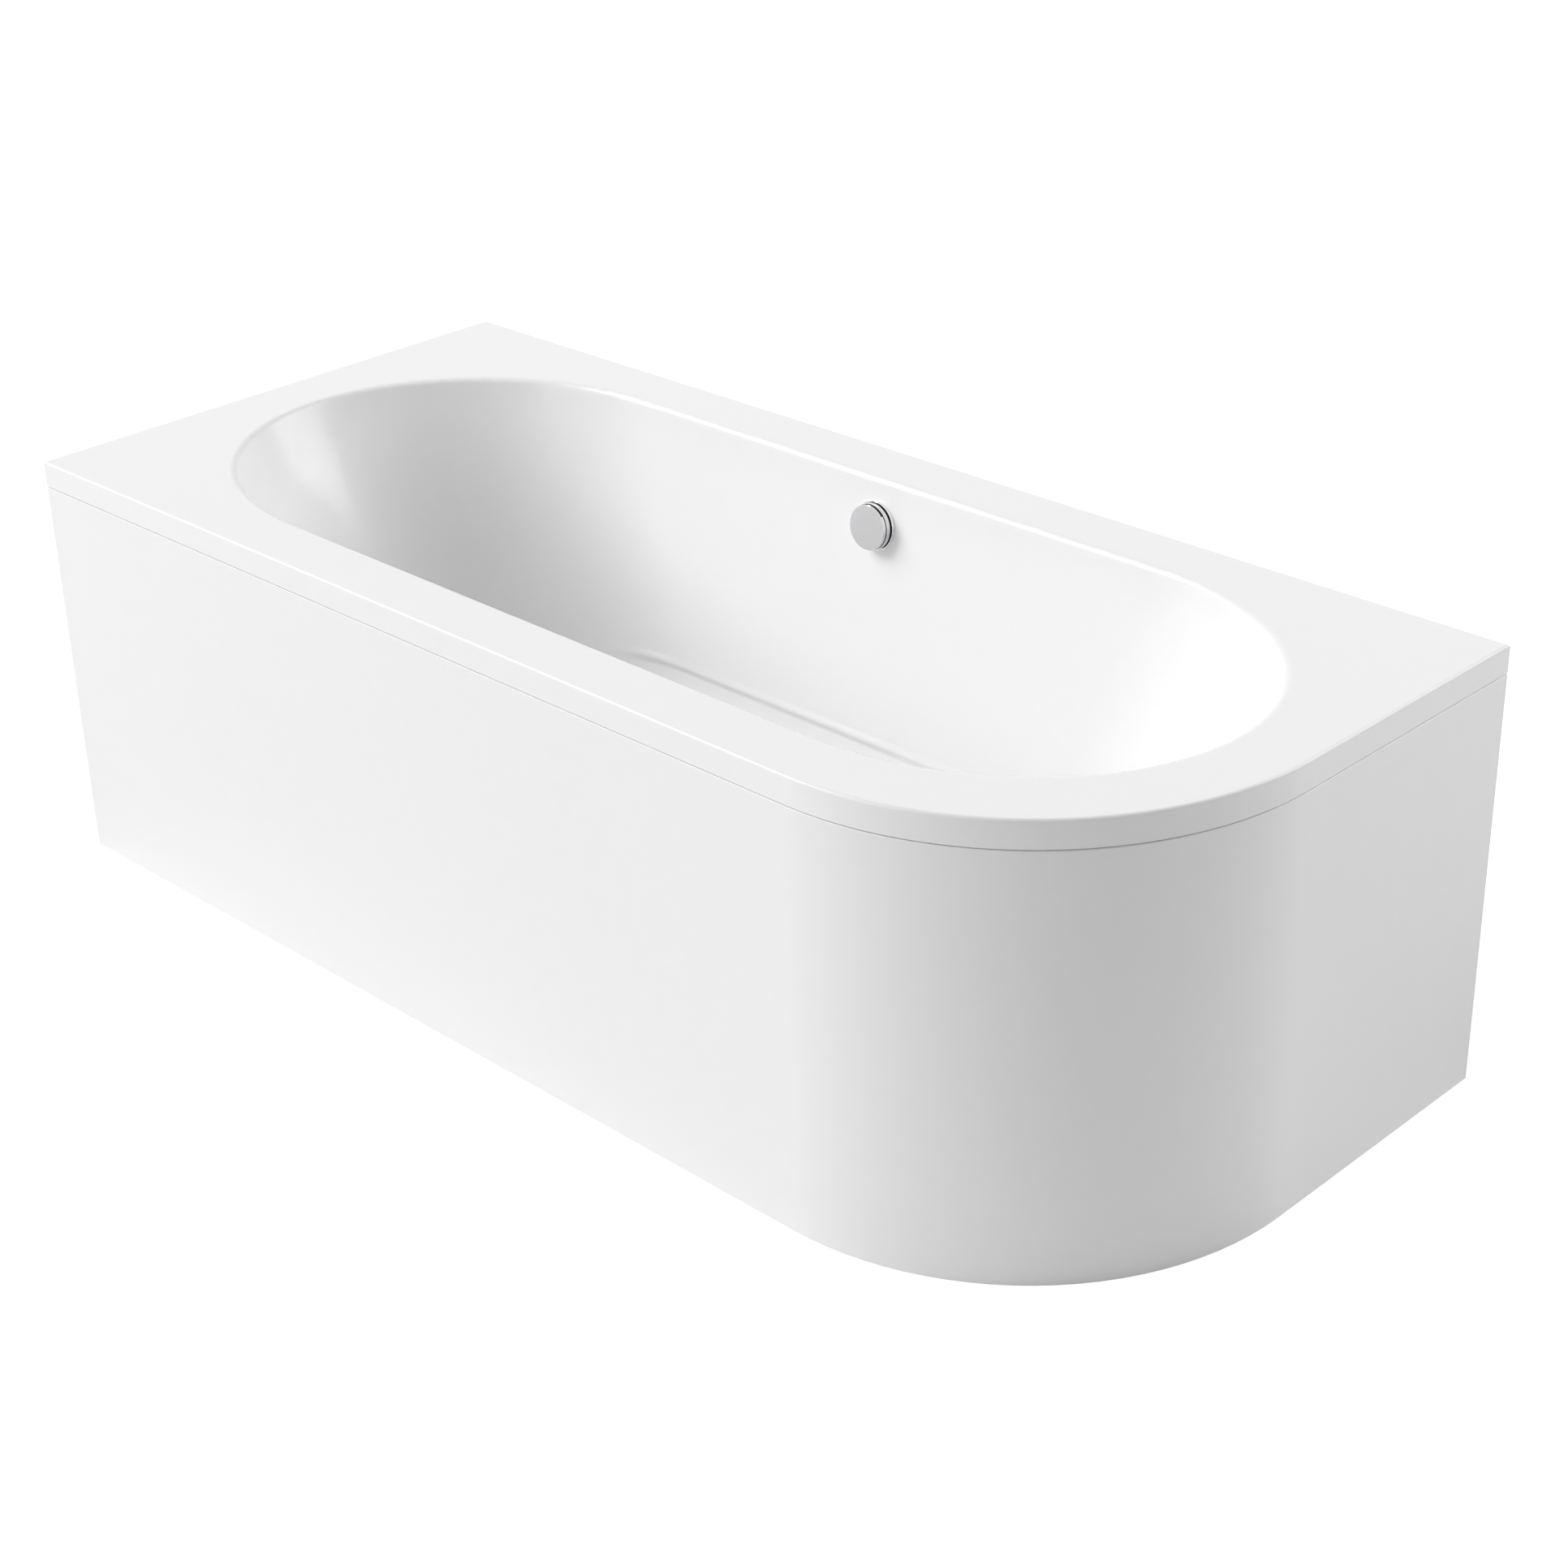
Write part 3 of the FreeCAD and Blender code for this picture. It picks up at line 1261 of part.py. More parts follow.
for thing in doc.Objects:
    assert not {"Invalid", "Error"} & set(thing.State), f"{thing.Name} failed"
for piece in SUBPARTS:
    assert not piece.Shape.isNull() and piece.Shape.isValid(), f"{piece.Label} has no sound shape"
os.makedirs("parts", exist_ok=True)
for piece in SUBPARTS:
    piece.Shape.exportStep(f"parts/{piece.Label}.step")
print(f"{len(SUBPARTS)} sub-parts written")
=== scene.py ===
import json
import math

import bmesh
import bpy
from bpy.props import FloatProperty, FloatVectorProperty, PointerProperty
from bpy.types import Operator, Panel, PropertyGroup
from mathutils import Matrix, Vector

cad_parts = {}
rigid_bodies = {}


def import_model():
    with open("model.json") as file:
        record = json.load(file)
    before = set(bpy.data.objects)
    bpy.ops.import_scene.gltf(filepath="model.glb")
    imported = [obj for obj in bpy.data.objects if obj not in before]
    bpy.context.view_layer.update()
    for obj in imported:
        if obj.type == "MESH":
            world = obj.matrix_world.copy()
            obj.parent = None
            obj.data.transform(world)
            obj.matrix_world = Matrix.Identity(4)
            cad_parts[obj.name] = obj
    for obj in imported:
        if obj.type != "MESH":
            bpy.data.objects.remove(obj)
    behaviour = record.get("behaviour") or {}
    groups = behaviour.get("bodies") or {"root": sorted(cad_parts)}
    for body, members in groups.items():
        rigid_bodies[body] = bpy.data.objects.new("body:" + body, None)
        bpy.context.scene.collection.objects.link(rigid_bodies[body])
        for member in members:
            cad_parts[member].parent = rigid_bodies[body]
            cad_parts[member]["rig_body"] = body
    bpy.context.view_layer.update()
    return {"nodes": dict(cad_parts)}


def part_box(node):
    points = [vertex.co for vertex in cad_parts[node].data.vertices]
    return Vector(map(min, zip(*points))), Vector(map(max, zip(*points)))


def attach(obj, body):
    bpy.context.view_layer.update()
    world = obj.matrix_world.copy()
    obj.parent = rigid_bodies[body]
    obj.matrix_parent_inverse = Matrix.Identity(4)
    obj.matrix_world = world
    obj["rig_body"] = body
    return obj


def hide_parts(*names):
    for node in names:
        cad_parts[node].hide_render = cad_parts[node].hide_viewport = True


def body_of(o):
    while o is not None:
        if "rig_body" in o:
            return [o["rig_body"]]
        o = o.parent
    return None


bl_info = {
    "name": "Corner Bath Finishes",
    "version": (1, 0, 0),
    "blender": (4, 5, 0),
    "location": "3D Viewport > Sidebar > Bath",
    "description": "Dresses a fitted corner bath, its waste, overflow, frame and feet",
    "category": "Object",
}

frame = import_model()
NODES = frame["nodes"]
SHELL_LOW, SHELL_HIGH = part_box("bath_shell")
ROSE_LOW, ROSE_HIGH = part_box("overflow_rose")

# Lengths are in metres, and a pattern's scale is in repeats per metre.

MERGE_DISTANCE = 1e-6
SHARP_ANGLE = math.radians(32)

# The rounded corner, the turned-down edge of the rim, and how far a face has to look down
# to belong to the laminated side of the tub.
CORNER_RADIUS = (SHELL_HIGH.y - SHELL_LOW.y) / 2
APRON_DEPTH = 0.006
BACK_FACE_SLOPE = -0.02

# The knob leans back with the well's wall, which goes out by WALL_RUN over WALL_RISE.
WALL_RUN = 0.046
WALL_RISE = 0.41
KNOB_LEAN = math.atan(WALL_RUN / WALL_RISE)
# The groove's radius and the side limit pick the knob's faces that are coloured near-black as
# painted shade.
KNOB_GROOVE_RADIUS = 0.0285
KNOB_SIDE_LIMIT = 0.5

# The crease along the foot of the long walls: its level, its half width, where it starts and
# is full, where it begins to fade and ends, and how far from the middle the long walls are.
CREASE_LEVEL = 0.211
CREASE_HALF_WIDTH = 0.01
CREASE_START, CREASE_FULL = -0.46, -0.39
CREASE_FADE, CREASE_END = 0.0, 0.30
LONG_WALL_START, LONG_WALL_FULL = 0.2, 0.22

ACRYLIC_IOR = 1.49
ACRYLIC_SPECULAR = 0.35
WAVE_SCALE = 7.0
WAVE_HEIGHT = 0.0003
STRAND_SCALE = 55.0
STRAND_WIDTH = 0.12
CHIP_SCALE = 260.0
PAINT_SPECKLE_SCALE = 900.0

PHOTO_PIXELS = 1932
SENSOR_WIDTH = 36.0
FLOOR_REACH = 6.0
FLOOR_GREY = 0.8
WHITE = (1.0, 1.0, 1.0, 1.0)

# Soft boxes: name, turn from +X towards +Y and rise from the floor in degrees, distance from
# the origin, width, and the setting that holds the power.
LAMPS = (
    ("front_lamp", 220, 38, 22.0, 14.0, "front_power"),
    ("back_lamp", 59, 31, 14.0, 9.0, "back_power"),
    ("low_lamp", 262, 20, 14.0, 6.0, "low_power"),
)


# ---------------------------------------------------------------- settings


class BathFinishSettings(PropertyGroup):
    """Colours and surface values of the bath's materials."""

    # The shell is set a shade lighter than the panel: painted light that makes the rim's band
    # read brighter than the panel below it.
    acrylic_colour: FloatVectorProperty(
        name="Acrylic", description="Colour of the moulded shell",
        subtype="COLOR", default=(0.93, 0.93, 0.932), min=0, max=1,
    )
    panel_colour: FloatVectorProperty(
        name="Panel", description="Colour of the outer panel",
        subtype="COLOR", default=(0.92, 0.92, 0.922), min=0, max=1,
    )
    backing_colour: FloatVectorProperty(
        name="Backing", description="Colour of the glass-fibre laminate under the shell",
        subtype="COLOR", default=(0.70, 0.68, 0.58), min=0, max=1,
    )
    chrome_colour: FloatVectorProperty(
        name="Chrome", description="Colour of the plated trim",
        subtype="COLOR", default=(0.80, 0.80, 0.81), min=0, max=1,
    )
    zinc_colour: FloatVectorProperty(
        name="Zinc", description="Colour of the plated screws, nuts and brackets",
        subtype="COLOR", default=(0.58, 0.60, 0.63), min=0, max=1,
    )
    channel_colour: FloatVectorProperty(
        name="Channel paint", description="Colour of the painted cradle channels",
        subtype="COLOR", default=(0.045, 0.047, 0.05), min=0, max=1,
    )
    brass_colour: FloatVectorProperty(
        name="Brass", description="Colour of the spindle, crank and lever",
        subtype="COLOR", default=(0.60, 0.42, 0.17), min=0, max=1,
    )
    timber_colour: FloatVectorProperty(
        name="Timber", description="Light colour of the softwood battens",
        subtype="COLOR", default=(0.62, 0.43, 0.24), min=0, max=1,
    )
    board_colour: FloatVectorProperty(
        name="Chipboard", description="Colour of the chipboard under the well",
        subtype="COLOR", default=(0.52, 0.38, 0.22), min=0, max=1,
    )
    moulding_colour: FloatVectorProperty(
        name="Moulding", description="Colour of the plastic waste and overflow bodies",
        subtype="COLOR", default=(0.78, 0.79, 0.78), min=0, max=1,
    )
    hose_colour: FloatVectorProperty(
        name="Hose", description="Colour of the ribbed hose",
        subtype="COLOR", default=(0.62, 0.64, 0.65), min=0, max=1,
    )
    # Real black rubber for the seals, pads and casing; on the knob's groove and back the same
    # colour is painted shade.
    rubber_and_painted_shade_colour: FloatVectorProperty(
        name="Rubber",
        description="Colour of the seals, foot pads, cable casing and the knob's groove",
        subtype="COLOR", default=(0.022, 0.022, 0.024), min=0, max=1,
    )
    gloss: FloatProperty(
        name="Acrylic roughness", description="Mean roughness of the glossy acrylic",
        default=0.22, min=0.02, max=0.6,
    )
    crease_height: FloatProperty(
        name="Crease height", description="Height of the crease at the foot of the long walls",
        unit="LENGTH", default=0.0036, min=0, max=0.006,
    )
    thread_pitch: FloatProperty(
        name="Thread pitch", description="Pitch of the thread on the feet's studs",
        unit="LENGTH", default=0.00175, min=0.0005, max=0.005,
    )


class BathStageSettings(PropertyGroup):
    """Camera, lamps and floor around the bath."""

    focal_pixels: FloatProperty(
        name="Focal length in pixels", description="Focal length across the square picture",
        default=3584.7, min=500, max=9000,
    )
    azimuth: FloatProperty(
        name="Azimuth", description="Camera's turn from the front towards the rounded corner",
        subtype="ANGLE", default=math.radians(44.64),
    )
    elevation: FloatProperty(
        name="Elevation", description="Camera's height angle",
        subtype="ANGLE", default=math.radians(27.35),
    )
    roll: FloatProperty(
        name="Roll", description="Camera's roll", subtype="ANGLE", default=math.radians(-1.31),
    )
    distance: FloatProperty(
        name="Distance", description="Camera's distance from its target",
        unit="LENGTH", default=3.5172, min=0.5, max=20,
    )
    target: FloatVectorProperty(
        name="Target", description="Point in the middle of the picture",
        subtype="TRANSLATION", default=(0.1064, 0.0, 0.2773),
    )
    sky_strength: FloatProperty(
        name="Sky strength", description="Even light from all round",
        default=0.19, min=0, max=3,
    )
    front_power: FloatProperty(
        name="Front lamp", description="Power of the high lamp at the front left",
        default=3860.0, min=0, max=5000, subtype="POWER",
    )
    back_power: FloatProperty(
        name="Back lamp", description="Power of the lamp behind the rounded end",
        default=1170.0, min=0, max=5000, subtype="POWER",
    )
    low_power: FloatProperty(
        name="Low lamp", description="Power of the low lamp before the panel",
        default=230.0, min=0, max=5000, subtype="POWER",
    )
    floor_glow: FloatProperty(
        name="Floor glow", description="Share of the floor's white that the lamps don't give",
        default=0.6, min=0, max=1,
    )


# ---------------------------------------------------------------- shader helpers


def feed(tree, value, socket):
    """Links a socket, or sets a plain value."""
    if isinstance(value, bpy.types.NodeSocket):
        tree.links.new(value, socket)
    else:
        socket.default_value = value


def new_material(name):
    material = bpy.data.materials.new(name)
    material.use_nodes = True
    tree = material.node_tree
    tree.nodes.clear()
    output = tree.nodes.new("ShaderNodeOutputMaterial")
    shader = tree.nodes.new("ShaderNodeBsdfPrincipled")
    tree.links.new(shader.outputs["BSDF"], output.inputs["Surface"])
    return material, tree, shader


def new_group(name, inputs, outputs):
    """A shader node group with named float, colour and vector sockets."""
    group = bpy.data.node_groups.new(name, "ShaderNodeTree")
    kinds = {
        "float": "NodeSocketFloat", "colour": "NodeSocketColor", "vector": "NodeSocketVector",
    }
    for direction, sockets in (("INPUT", inputs), ("OUTPUT", outputs)):
        for socket_name, kind in sockets:
            group.interface.new_socket(socket_name, in_out=direction, socket_type=kinds[kind])
    entry = group.nodes.new("NodeGroupInput")
    leave = group.nodes.new("NodeGroupOutput")
    return group, entry, leave


def place_group(tree, group, values):
    node = tree.nodes.new("ShaderNodeGroup")
    node.node_tree = group
    for socket_name, value in values.items():
        node.inputs[socket_name].default_value = value
    return node


def noise(tree, vector, scale, detail=2.0, roughness=0.5):
    node = tree.nodes.new("ShaderNodeTexNoise")
    node.inputs["Detail"].default_value = detail
    node.inputs["Roughness"].default_value = roughness
    tree.links.new(vector, node.inputs["Vector"])
    feed(tree, scale, node.inputs["Scale"])
    return node


def between(tree, amount, low, high):
    """Maps 0..1 to low..high."""
    node = tree.nodes.new("ShaderNodeMapRange")
    feed(tree, amount, node.inputs["Value"])
    feed(tree, low, node.inputs["To Min"])
    feed(tree, high, node.inputs["To Max"])
    return node.outputs["Result"]


def ramp(tree, value, zero_at, one_at):
    """Goes smoothly from 0 to 1 between two values, either of which may be the larger."""
    node = tree.nodes.new("ShaderNodeMapRange")
    node.interpolation_type = "SMOOTHSTEP"
    feed(tree, value, node.inputs["Value"])
    node.inputs["From Min"].default_value = zero_at
    node.inputs["From Max"].default_value = one_at
    return node.outputs["Result"]


def math_node(tree, operation, first, second=0.0):
    node = tree.nodes.new("ShaderNodeMath")
    node.operation = operation
    feed(tree, first, node.inputs[0])
    feed(tree, second, node.inputs[1])
    return node.outputs["Value"]


def mixed(tree, amount, first, second):
    """A blend of two colours, or of two vectors, by an amount from 0 to 1."""
    node = tree.nodes.new("ShaderNodeMix")
    node.data_type = "RGBA"
    feed(tree, amount, node.inputs["Factor"])
    feed(tree, first, node.inputs["A"])
    feed(tree, second, node.inputs["B"])
    return node.outputs["Result"]


def object_coordinates(tree):
    return tree.nodes.new("ShaderNodeTexCoord").outputs["Object"]


def separated(tree, vector):
    """The X, Y and Z of a vector, by name."""
    node = tree.nodes.new("ShaderNodeSeparateXYZ")
    tree.links.new(vector, node.inputs["Vector"])
    return node.outputs


def bump(tree, shader, height, strength, distance):
    node = tree.nodes.new("ShaderNodeBump")
    node.inputs["Strength"].default_value = strength
    node.inputs["Distance"].default_value = distance
    tree.links.new(height, node.inputs["Height"])
    tree.links.new(node.outputs["Normal"], shader.inputs["Normal"])


def colour4(colour):
    return (*colour, 1.0)


def shaded(colour, share):
    """A colour scaled by a share: below 1 it is darker, above 1 lighter."""
    return (*[channel * share for channel in colour], 1.0)


# ---------------------------------------------------------------- shared effects


def handling_group():
    """Faint smears and dust: they vary the gloss and the colour a little."""
    group, entry, leave = new_group(
        "handling",
        [("Colour", "colour"), ("Worn Colour", "colour"), ("Roughness", "float"),
         ("Spread", "float"), ("Scale", "float")],
        [("Colour", "colour"), ("Roughness", "float")],
    )
    coordinates = object_coordinates(group)
    smear = noise(group, coordinates, entry.outputs["Scale"], detail=4.0, roughness=0.6)
    dust_scale = math_node(group, "MULTIPLY", entry.outputs["Scale"], 14.0)
    dust = noise(group, coordinates, dust_scale)
    both = math_node(group, "MULTIPLY", smear.outputs["Fac"], dust.outputs["Fac"])
    mask = math_node(group, "MULTIPLY", both, 2.0)
    low = math_node(group, "SUBTRACT", entry.outputs["Roughness"], entry.outputs["Spread"])
    high = math_node(group, "ADD", entry.outputs["Roughness"], entry.outputs["Spread"])
    group.links.new(between(group, mask, low, high), leave.inputs["Roughness"])
    tone = mixed(group, mask, entry.outputs["Colour"], entry.outputs["Worn Colour"])
    group.links.new(tone, leave.inputs["Colour"])
    return group


def thread_group():
    """Ridges of a screw thread round an upright shank."""
    group, entry, leave = new_group(
        "thread", [("Turns per Metre", "float")], [("Height", "float")]
    )
    level = separated(group, object_coordinates(group))["Z"]
    turns = math_node(group, "MULTIPLY", level, entry.outputs["Turns per Metre"])
    ridge = math_node(group, "PINGPONG", turns, 0.5)
    group.links.new(math_node(group, "MULTIPLY", ridge, 2.0), leave.inputs["Height"])
    return group


def grain_group():
    """Softwood grain: long streaks with darker late wood."""
    group, entry, leave = new_group(
        "grain",
        [("Early", "colour"), ("Late", "colour"), ("Along", "vector")],
        [("Colour", "colour"), ("Height", "float")],
    )
    coordinates = object_coordinates(group)
    stretch = group.nodes.new("ShaderNodeVectorMath")
    stretch.operation = "MULTIPLY"
    group.links.new(coordinates, stretch.inputs[0])
    group.links.new(entry.outputs["Along"], stretch.inputs[1])
    along = stretch.outputs["Vector"]
    rings = noise(group, along, 60.0, detail=5.0, roughness=0.65)
    rings.inputs["Distortion"].default_value = 0.4
    fibres = noise(group, along, 320.0)
    streaks = math_node(group, "MULTIPLY", rings.outputs["Fac"], 1.6)
    fine = math_node(group, "MULTIPLY", fibres.outputs["Fac"], 0.4)
    height = math_node(group, "ADD", streaks, fine)
    amount = between(group, height, -0.4, 0.9)
    tone = mixed(group, amount, entry.outputs["Late"], entry.outputs["Early"])
    group.links.new(tone, leave.inputs["Colour"])
    group.links.new(height, leave.inputs["Height"])
    return group


EFFECT_BUILDERS = {"handling": handling_group, "thread": thread_group, "grain": grain_group}
EFFECTS = {}


def effect(name):
    """A shared effect's node group, built when it is first asked for."""
    if name not in EFFECTS:
        EFFECTS[name] = EFFECT_BUILDERS[name]()
    return EFFECTS[name]


def handled(tree, shader, colour, worn, roughness, spread, scale):
    """Feeds colour and gloss through the handling effect. worn is the share of the colour
    that is left where it is handled most."""
    node = place_group(tree, effect("handling"), {
        "Colour": colour4(colour), "Worn Colour": shaded(colour, worn),
        "Roughness": roughness, "Spread": spread, "Scale": scale,
    })
    tree.links.new(node.outputs["Colour"], shader.inputs["Base Color"])
    tree.links.new(node.outputs["Roughness"], shader.inputs["Roughness"])


# ---------------------------------------------------------------- finishes


def crease(tree):
    """1 along the foot of the long walls, where their flat part meets the round, else 0."""
    place = separated(tree, object_coordinates(tree))
    shares = [
        ramp(tree, place["Z"], CREASE_LEVEL - CREASE_HALF_WIDTH, CREASE_LEVEL),
        ramp(tree, place["Z"], CREASE_LEVEL + CREASE_HALF_WIDTH, CREASE_LEVEL),
        ramp(tree, place["X"], CREASE_START, CREASE_FULL),
        ramp(tree, place["X"], CREASE_END, CREASE_FADE),
        ramp(tree, math_node(tree, "ABSOLUTE", place["Y"]), LONG_WALL_START, LONG_WALL_FULL),
    ]
    whole = shares[0]
    for share in shares[1:]:
        whole = math_node(tree, "MULTIPLY", whole, share)
    return whole


def acrylic(name, colour, creased=False):
    """Glossy cast acrylic with a faint waviness from moulding."""
    settings = bpy.context.scene.bath_finish
    material, tree, shader = new_material(name)
    handled(tree, shader, colour, worn=0.985, roughness=settings.gloss, spread=0.03, scale=3.0)
    shader.inputs["IOR"].default_value = ACRYLIC_IOR
    shader.inputs["Specular IOR Level"].default_value = ACRYLIC_SPECULAR
    wave = noise(tree, object_coordinates(tree), WAVE_SCALE, detail=1.0)
    height = math_node(tree, "MULTIPLY", wave.outputs["Fac"], WAVE_HEIGHT)
    if creased:
        ridge = math_node(tree, "MULTIPLY", crease(tree), settings.crease_height)
        height = math_node(tree, "ADD", height, ridge)
    bump(tree, shader, height, strength=1.0, distance=1.0)
    return material


def laminate():
    """Chopped glass strands in resin, sprayed on the back of the shell."""
    colour = bpy.context.scene.bath_finish.backing_colour
    material, tree, shader = new_material("glass_fibre_backing")
    coordinates = object_coordinates(tree)
    strands = tree.nodes.new("ShaderNodeTexVoronoi")
    strands.feature = "DISTANCE_TO_EDGE"
    strands.inputs["Scale"].default_value = STRAND_SCALE
    warp = noise(tree, coordinates, 14.0, detail=4.0, roughness=0.7)
    warped = mixed(tree, 0.12, coordinates, warp.outputs["Color"])
    tree.links.new(warped, strands.inputs["Vector"])
    lumps = noise(tree, coordinates, 26.0, detail=6.0, roughness=0.7)
    depth = math_node(tree, "ADD", strands.outputs["Distance"], lumps.outputs["Fac"])
    resin = mixed(tree, lumps.outputs["Fac"], shaded(colour, 0.72), colour4(colour))
    away = ramp(tree, strands.outputs["Distance"], 0.0, STRAND_WIDTH)
    tone = mixed(tree, between(tree, away, 0.45, 1.0), shaded(colour, 0.45), resin)
    tree.links.new(tone, shader.inputs["Base Color"])
    roughness = between(tree, lumps.outputs["Fac"], 0.32, 0.62)
    tree.links.new(roughness, shader.inputs["Roughness"])
    bump(tree, shader, depth, strength=0.6, distance=0.0015)
    return material


def plated(name, colour, roughness, spread):
    """Bright or dull metal plating with faint wipe marks."""
    material, tree, shader = new_material(name)
    handled(tree, shader, colour, worn=0.93, roughness=roughness, spread=spread, scale=25.0)
    shader.inputs["Metallic"].default_value = 1.0
    return material


def threaded(name, colour):
    """Zinc-plated rod with a rolled thread."""
    pitch = bpy.context.scene.bath_finish.thread_pitch
    material, tree, shader = new_material(name)
    handled(tree, shader, colour, worn=0.8, roughness=0.34, spread=0.1, scale=60.0)
    shader.inputs["Metallic"].default_value = 1.0
    thread = place_group(tree, effect("thread"), {"Turns per Metre": 1 / pitch})
    bump(tree, shader, thread.outputs["Height"], strength=1.0, distance=pitch / 2)
    return material


def painted(name, colour):
    """Powder coat with a fine texture."""
    material, tree, shader = new_material(name)
    handled(tree, shader, colour, worn=1.5, roughness=0.42, spread=0.08, scale=12.0)
    speckle = noise(tree, object_coordinates(tree), PAINT_SPECKLE_SCALE, detail=1.0)
    bump(tree, shader, speckle.outputs["Fac"], strength=0.25, distance=0.0002)
    return material


def softwood(name, colour, along):
    """Planed softwood. along is small on the axis that the grain follows."""
    material, tree, shader = new_material(name)
    node = place_group(tree, effect("grain"), {
        "Early": colour4(colour), "Late": shaded(colour, 0.55), "Along": along,
    })
    tree.links.new(node.outputs["Colour"], shader.inputs["Base Color"])
    shader.inputs["Roughness"].default_value = 0.68
    bump(tree, shader, node.outputs["Height"], strength=0.3, distance=0.0004)
    return material


def chipboard():
    """Pressed wood chips of several sizes and tones."""
    colour = bpy.context.scene.bath_finish.board_colour
    material, tree, shader = new_material("chipboard")
    coordinates = object_coordinates(tree)
    chips = tree.nodes.new("ShaderNodeTexVoronoi")
    chips.inputs["Scale"].default_value = CHIP_SCALE
    flattened = tree.nodes.new("ShaderNodeMapping")
    flattened.inputs["Scale"].default_value = (1.0, 0.45, 2.2)
    tree.links.new(coordinates, flattened.inputs["Vector"])
    tree.links.new(flattened.outputs["Vector"], chips.inputs["Vector"])
    tint = tree.nodes.new("ShaderNodeSeparateColor")
    tree.links.new(chips.outputs["Color"], tint.inputs["Color"])
    tone = mixed(tree, tint.outputs["Red"], shaded(colour, 0.6), colour4(colour))
    tree.links.new(tone, shader.inputs["Base Color"])
    shader.inputs["Roughness"].default_value = 0.78
    bump(tree, shader, chips.outputs["Distance"], strength=0.3, distance=0.0006)
    return material


def moulded(name, colour, roughness, grain_scale=500.0):
    """Injection-moulded plastic with a slight spark-eroded texture."""
    material, tree, shader = new_material(name)
    handled(tree, shader, colour, worn=0.94, roughness=roughness, spread=0.05, scale=18.0)
    grain = noise(tree, object_coordinates(tree), grain_scale)
    bump(tree, shader, grain.outputs["Fac"], strength=0.2, distance=0.0002)
    return material


# ---------------------------------------------------------------- pieces


def smooth_copy(node_name, piece_name, body, materials, is_second=None):
    """A merged copy of a CAD piece whose curved faces shade smoothly. Faces for which
    is_second holds get the second material."""
    mesh = bmesh.new()
    mesh.from_mesh(NODES[node_name].data)
    bmesh.ops.remove_doubles(mesh, verts=mesh.verts, dist=MERGE_DISTANCE)
    for face in mesh.faces:
        face.smooth = True
        face.material_index = 1 if is_second and is_second(face) else 0
    for edge in mesh.edges:
        sharp = len(edge.link_faces) == 2 and edge.calc_face_angle(0.0) > SHARP_ANGLE
        edge.smooth = not sharp
    piece = linked_object(piece_name, filled_mesh(piece_name, mesh))
    for material in materials:
        piece.data.materials.append(material)
    weighted = piece.modifiers.new("even_faces", "WEIGHTED_NORMAL")
    weighted.keep_sharp = True
    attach(piece, body)
    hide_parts(node_name)


def filled_mesh(name, mesh):
    """Mesh data filled from a bmesh, which is freed."""
    data = bpy.data.meshes.new(name)
    mesh.to_mesh(data)
    mesh.free()
    return data


def linked_object(name, data):
    item = bpy.data.objects.new(name, data)
    bpy.context.scene.collection.objects.link(item)
    return item


def finish_flat(material, *names):
    """Gives CAD pieces with flat faces one material."""
    for name in names:
        for slot in NODES[name].material_slots:
            slot.material = material


def finish_round(material, slot, *names):
    """Gives CAD pieces with curved faces one material and smooth shading."""
    for name in names:
        body, = body_of(NODES[name])
        smooth_copy(name, name + "_finish", body, [material])


def nodes_named(start):
    return [name for name in NODES if name.startswith(start)]


def rim_gap(point):
    """How far a point lies inside the bath's outline, rounded corner included."""
    across = point.x - (SHELL_HIGH.x - CORNER_RADIUS)
    if across > 0 and point.y < 0:
        return CORNER_RADIUS - math.hypot(across, point.y)
    return min(point.x - SHELL_LOW.x, SHELL_HIGH.x - point.x,
               point.y - SHELL_LOW.y, SHELL_HIGH.y - point.y)


def is_shell_back(face):
    """Whether a face of the shell lies on the laminated side."""
    inside = rim_gap(face.calc_center_median()) > APRON_DEPTH
    return face.normal.z < BACK_FACE_SLOPE and inside


# The faces it finds get a near-black colour: painted shade in the groove behind the disc and
# on the back that faces the wall.
def is_knob_painted_shade(face):
    """Whether a face of the knob lies in the groove behind its disc or faces the wall."""
    axis = Vector((0, -math.cos(KNOB_LEAN), math.sin(KNOB_LEAN)))
    away = face.calc_center_median() - (ROSE_LOW + ROSE_HIGH) / 2
    radius = (away - axis * away.dot(axis)).length
    towards = face.normal.dot(axis)
    in_groove = abs(towards) < KNOB_SIDE_LIMIT and radius < KNOB_GROOVE_RADIUS
    return towards < -KNOB_SIDE_LIMIT or in_groove


class BATH_OT_shell(Operator):
    """Dresses the moulded tub in glossy acrylic with a laminated back"""

    bl_idname = "bath.shell"
    bl_label = "Shell"

    def execute(self, context):
        settings = context.scene.bath_finish
        front = acrylic("acrylic_shell", settings.acrylic_colour, creased=True)
        smooth_copy("bath_shell", "tub", "bath", [front, laminate()], is_shell_back)
        return {"FINISHED"}


class BATH_OT_panel(Operator):
    """Dresses the outer panel"""

    bl_idname = "bath.panel"
    bl_label = "Panel"

    def execute(self, context):
        settings = context.scene.bath_finish
        skin = acrylic("acrylic_panel", settings.panel_colour)
        smooth_copy("bath_panel", "outer_panel", "bath", [skin])
        return {"FINISHED"}


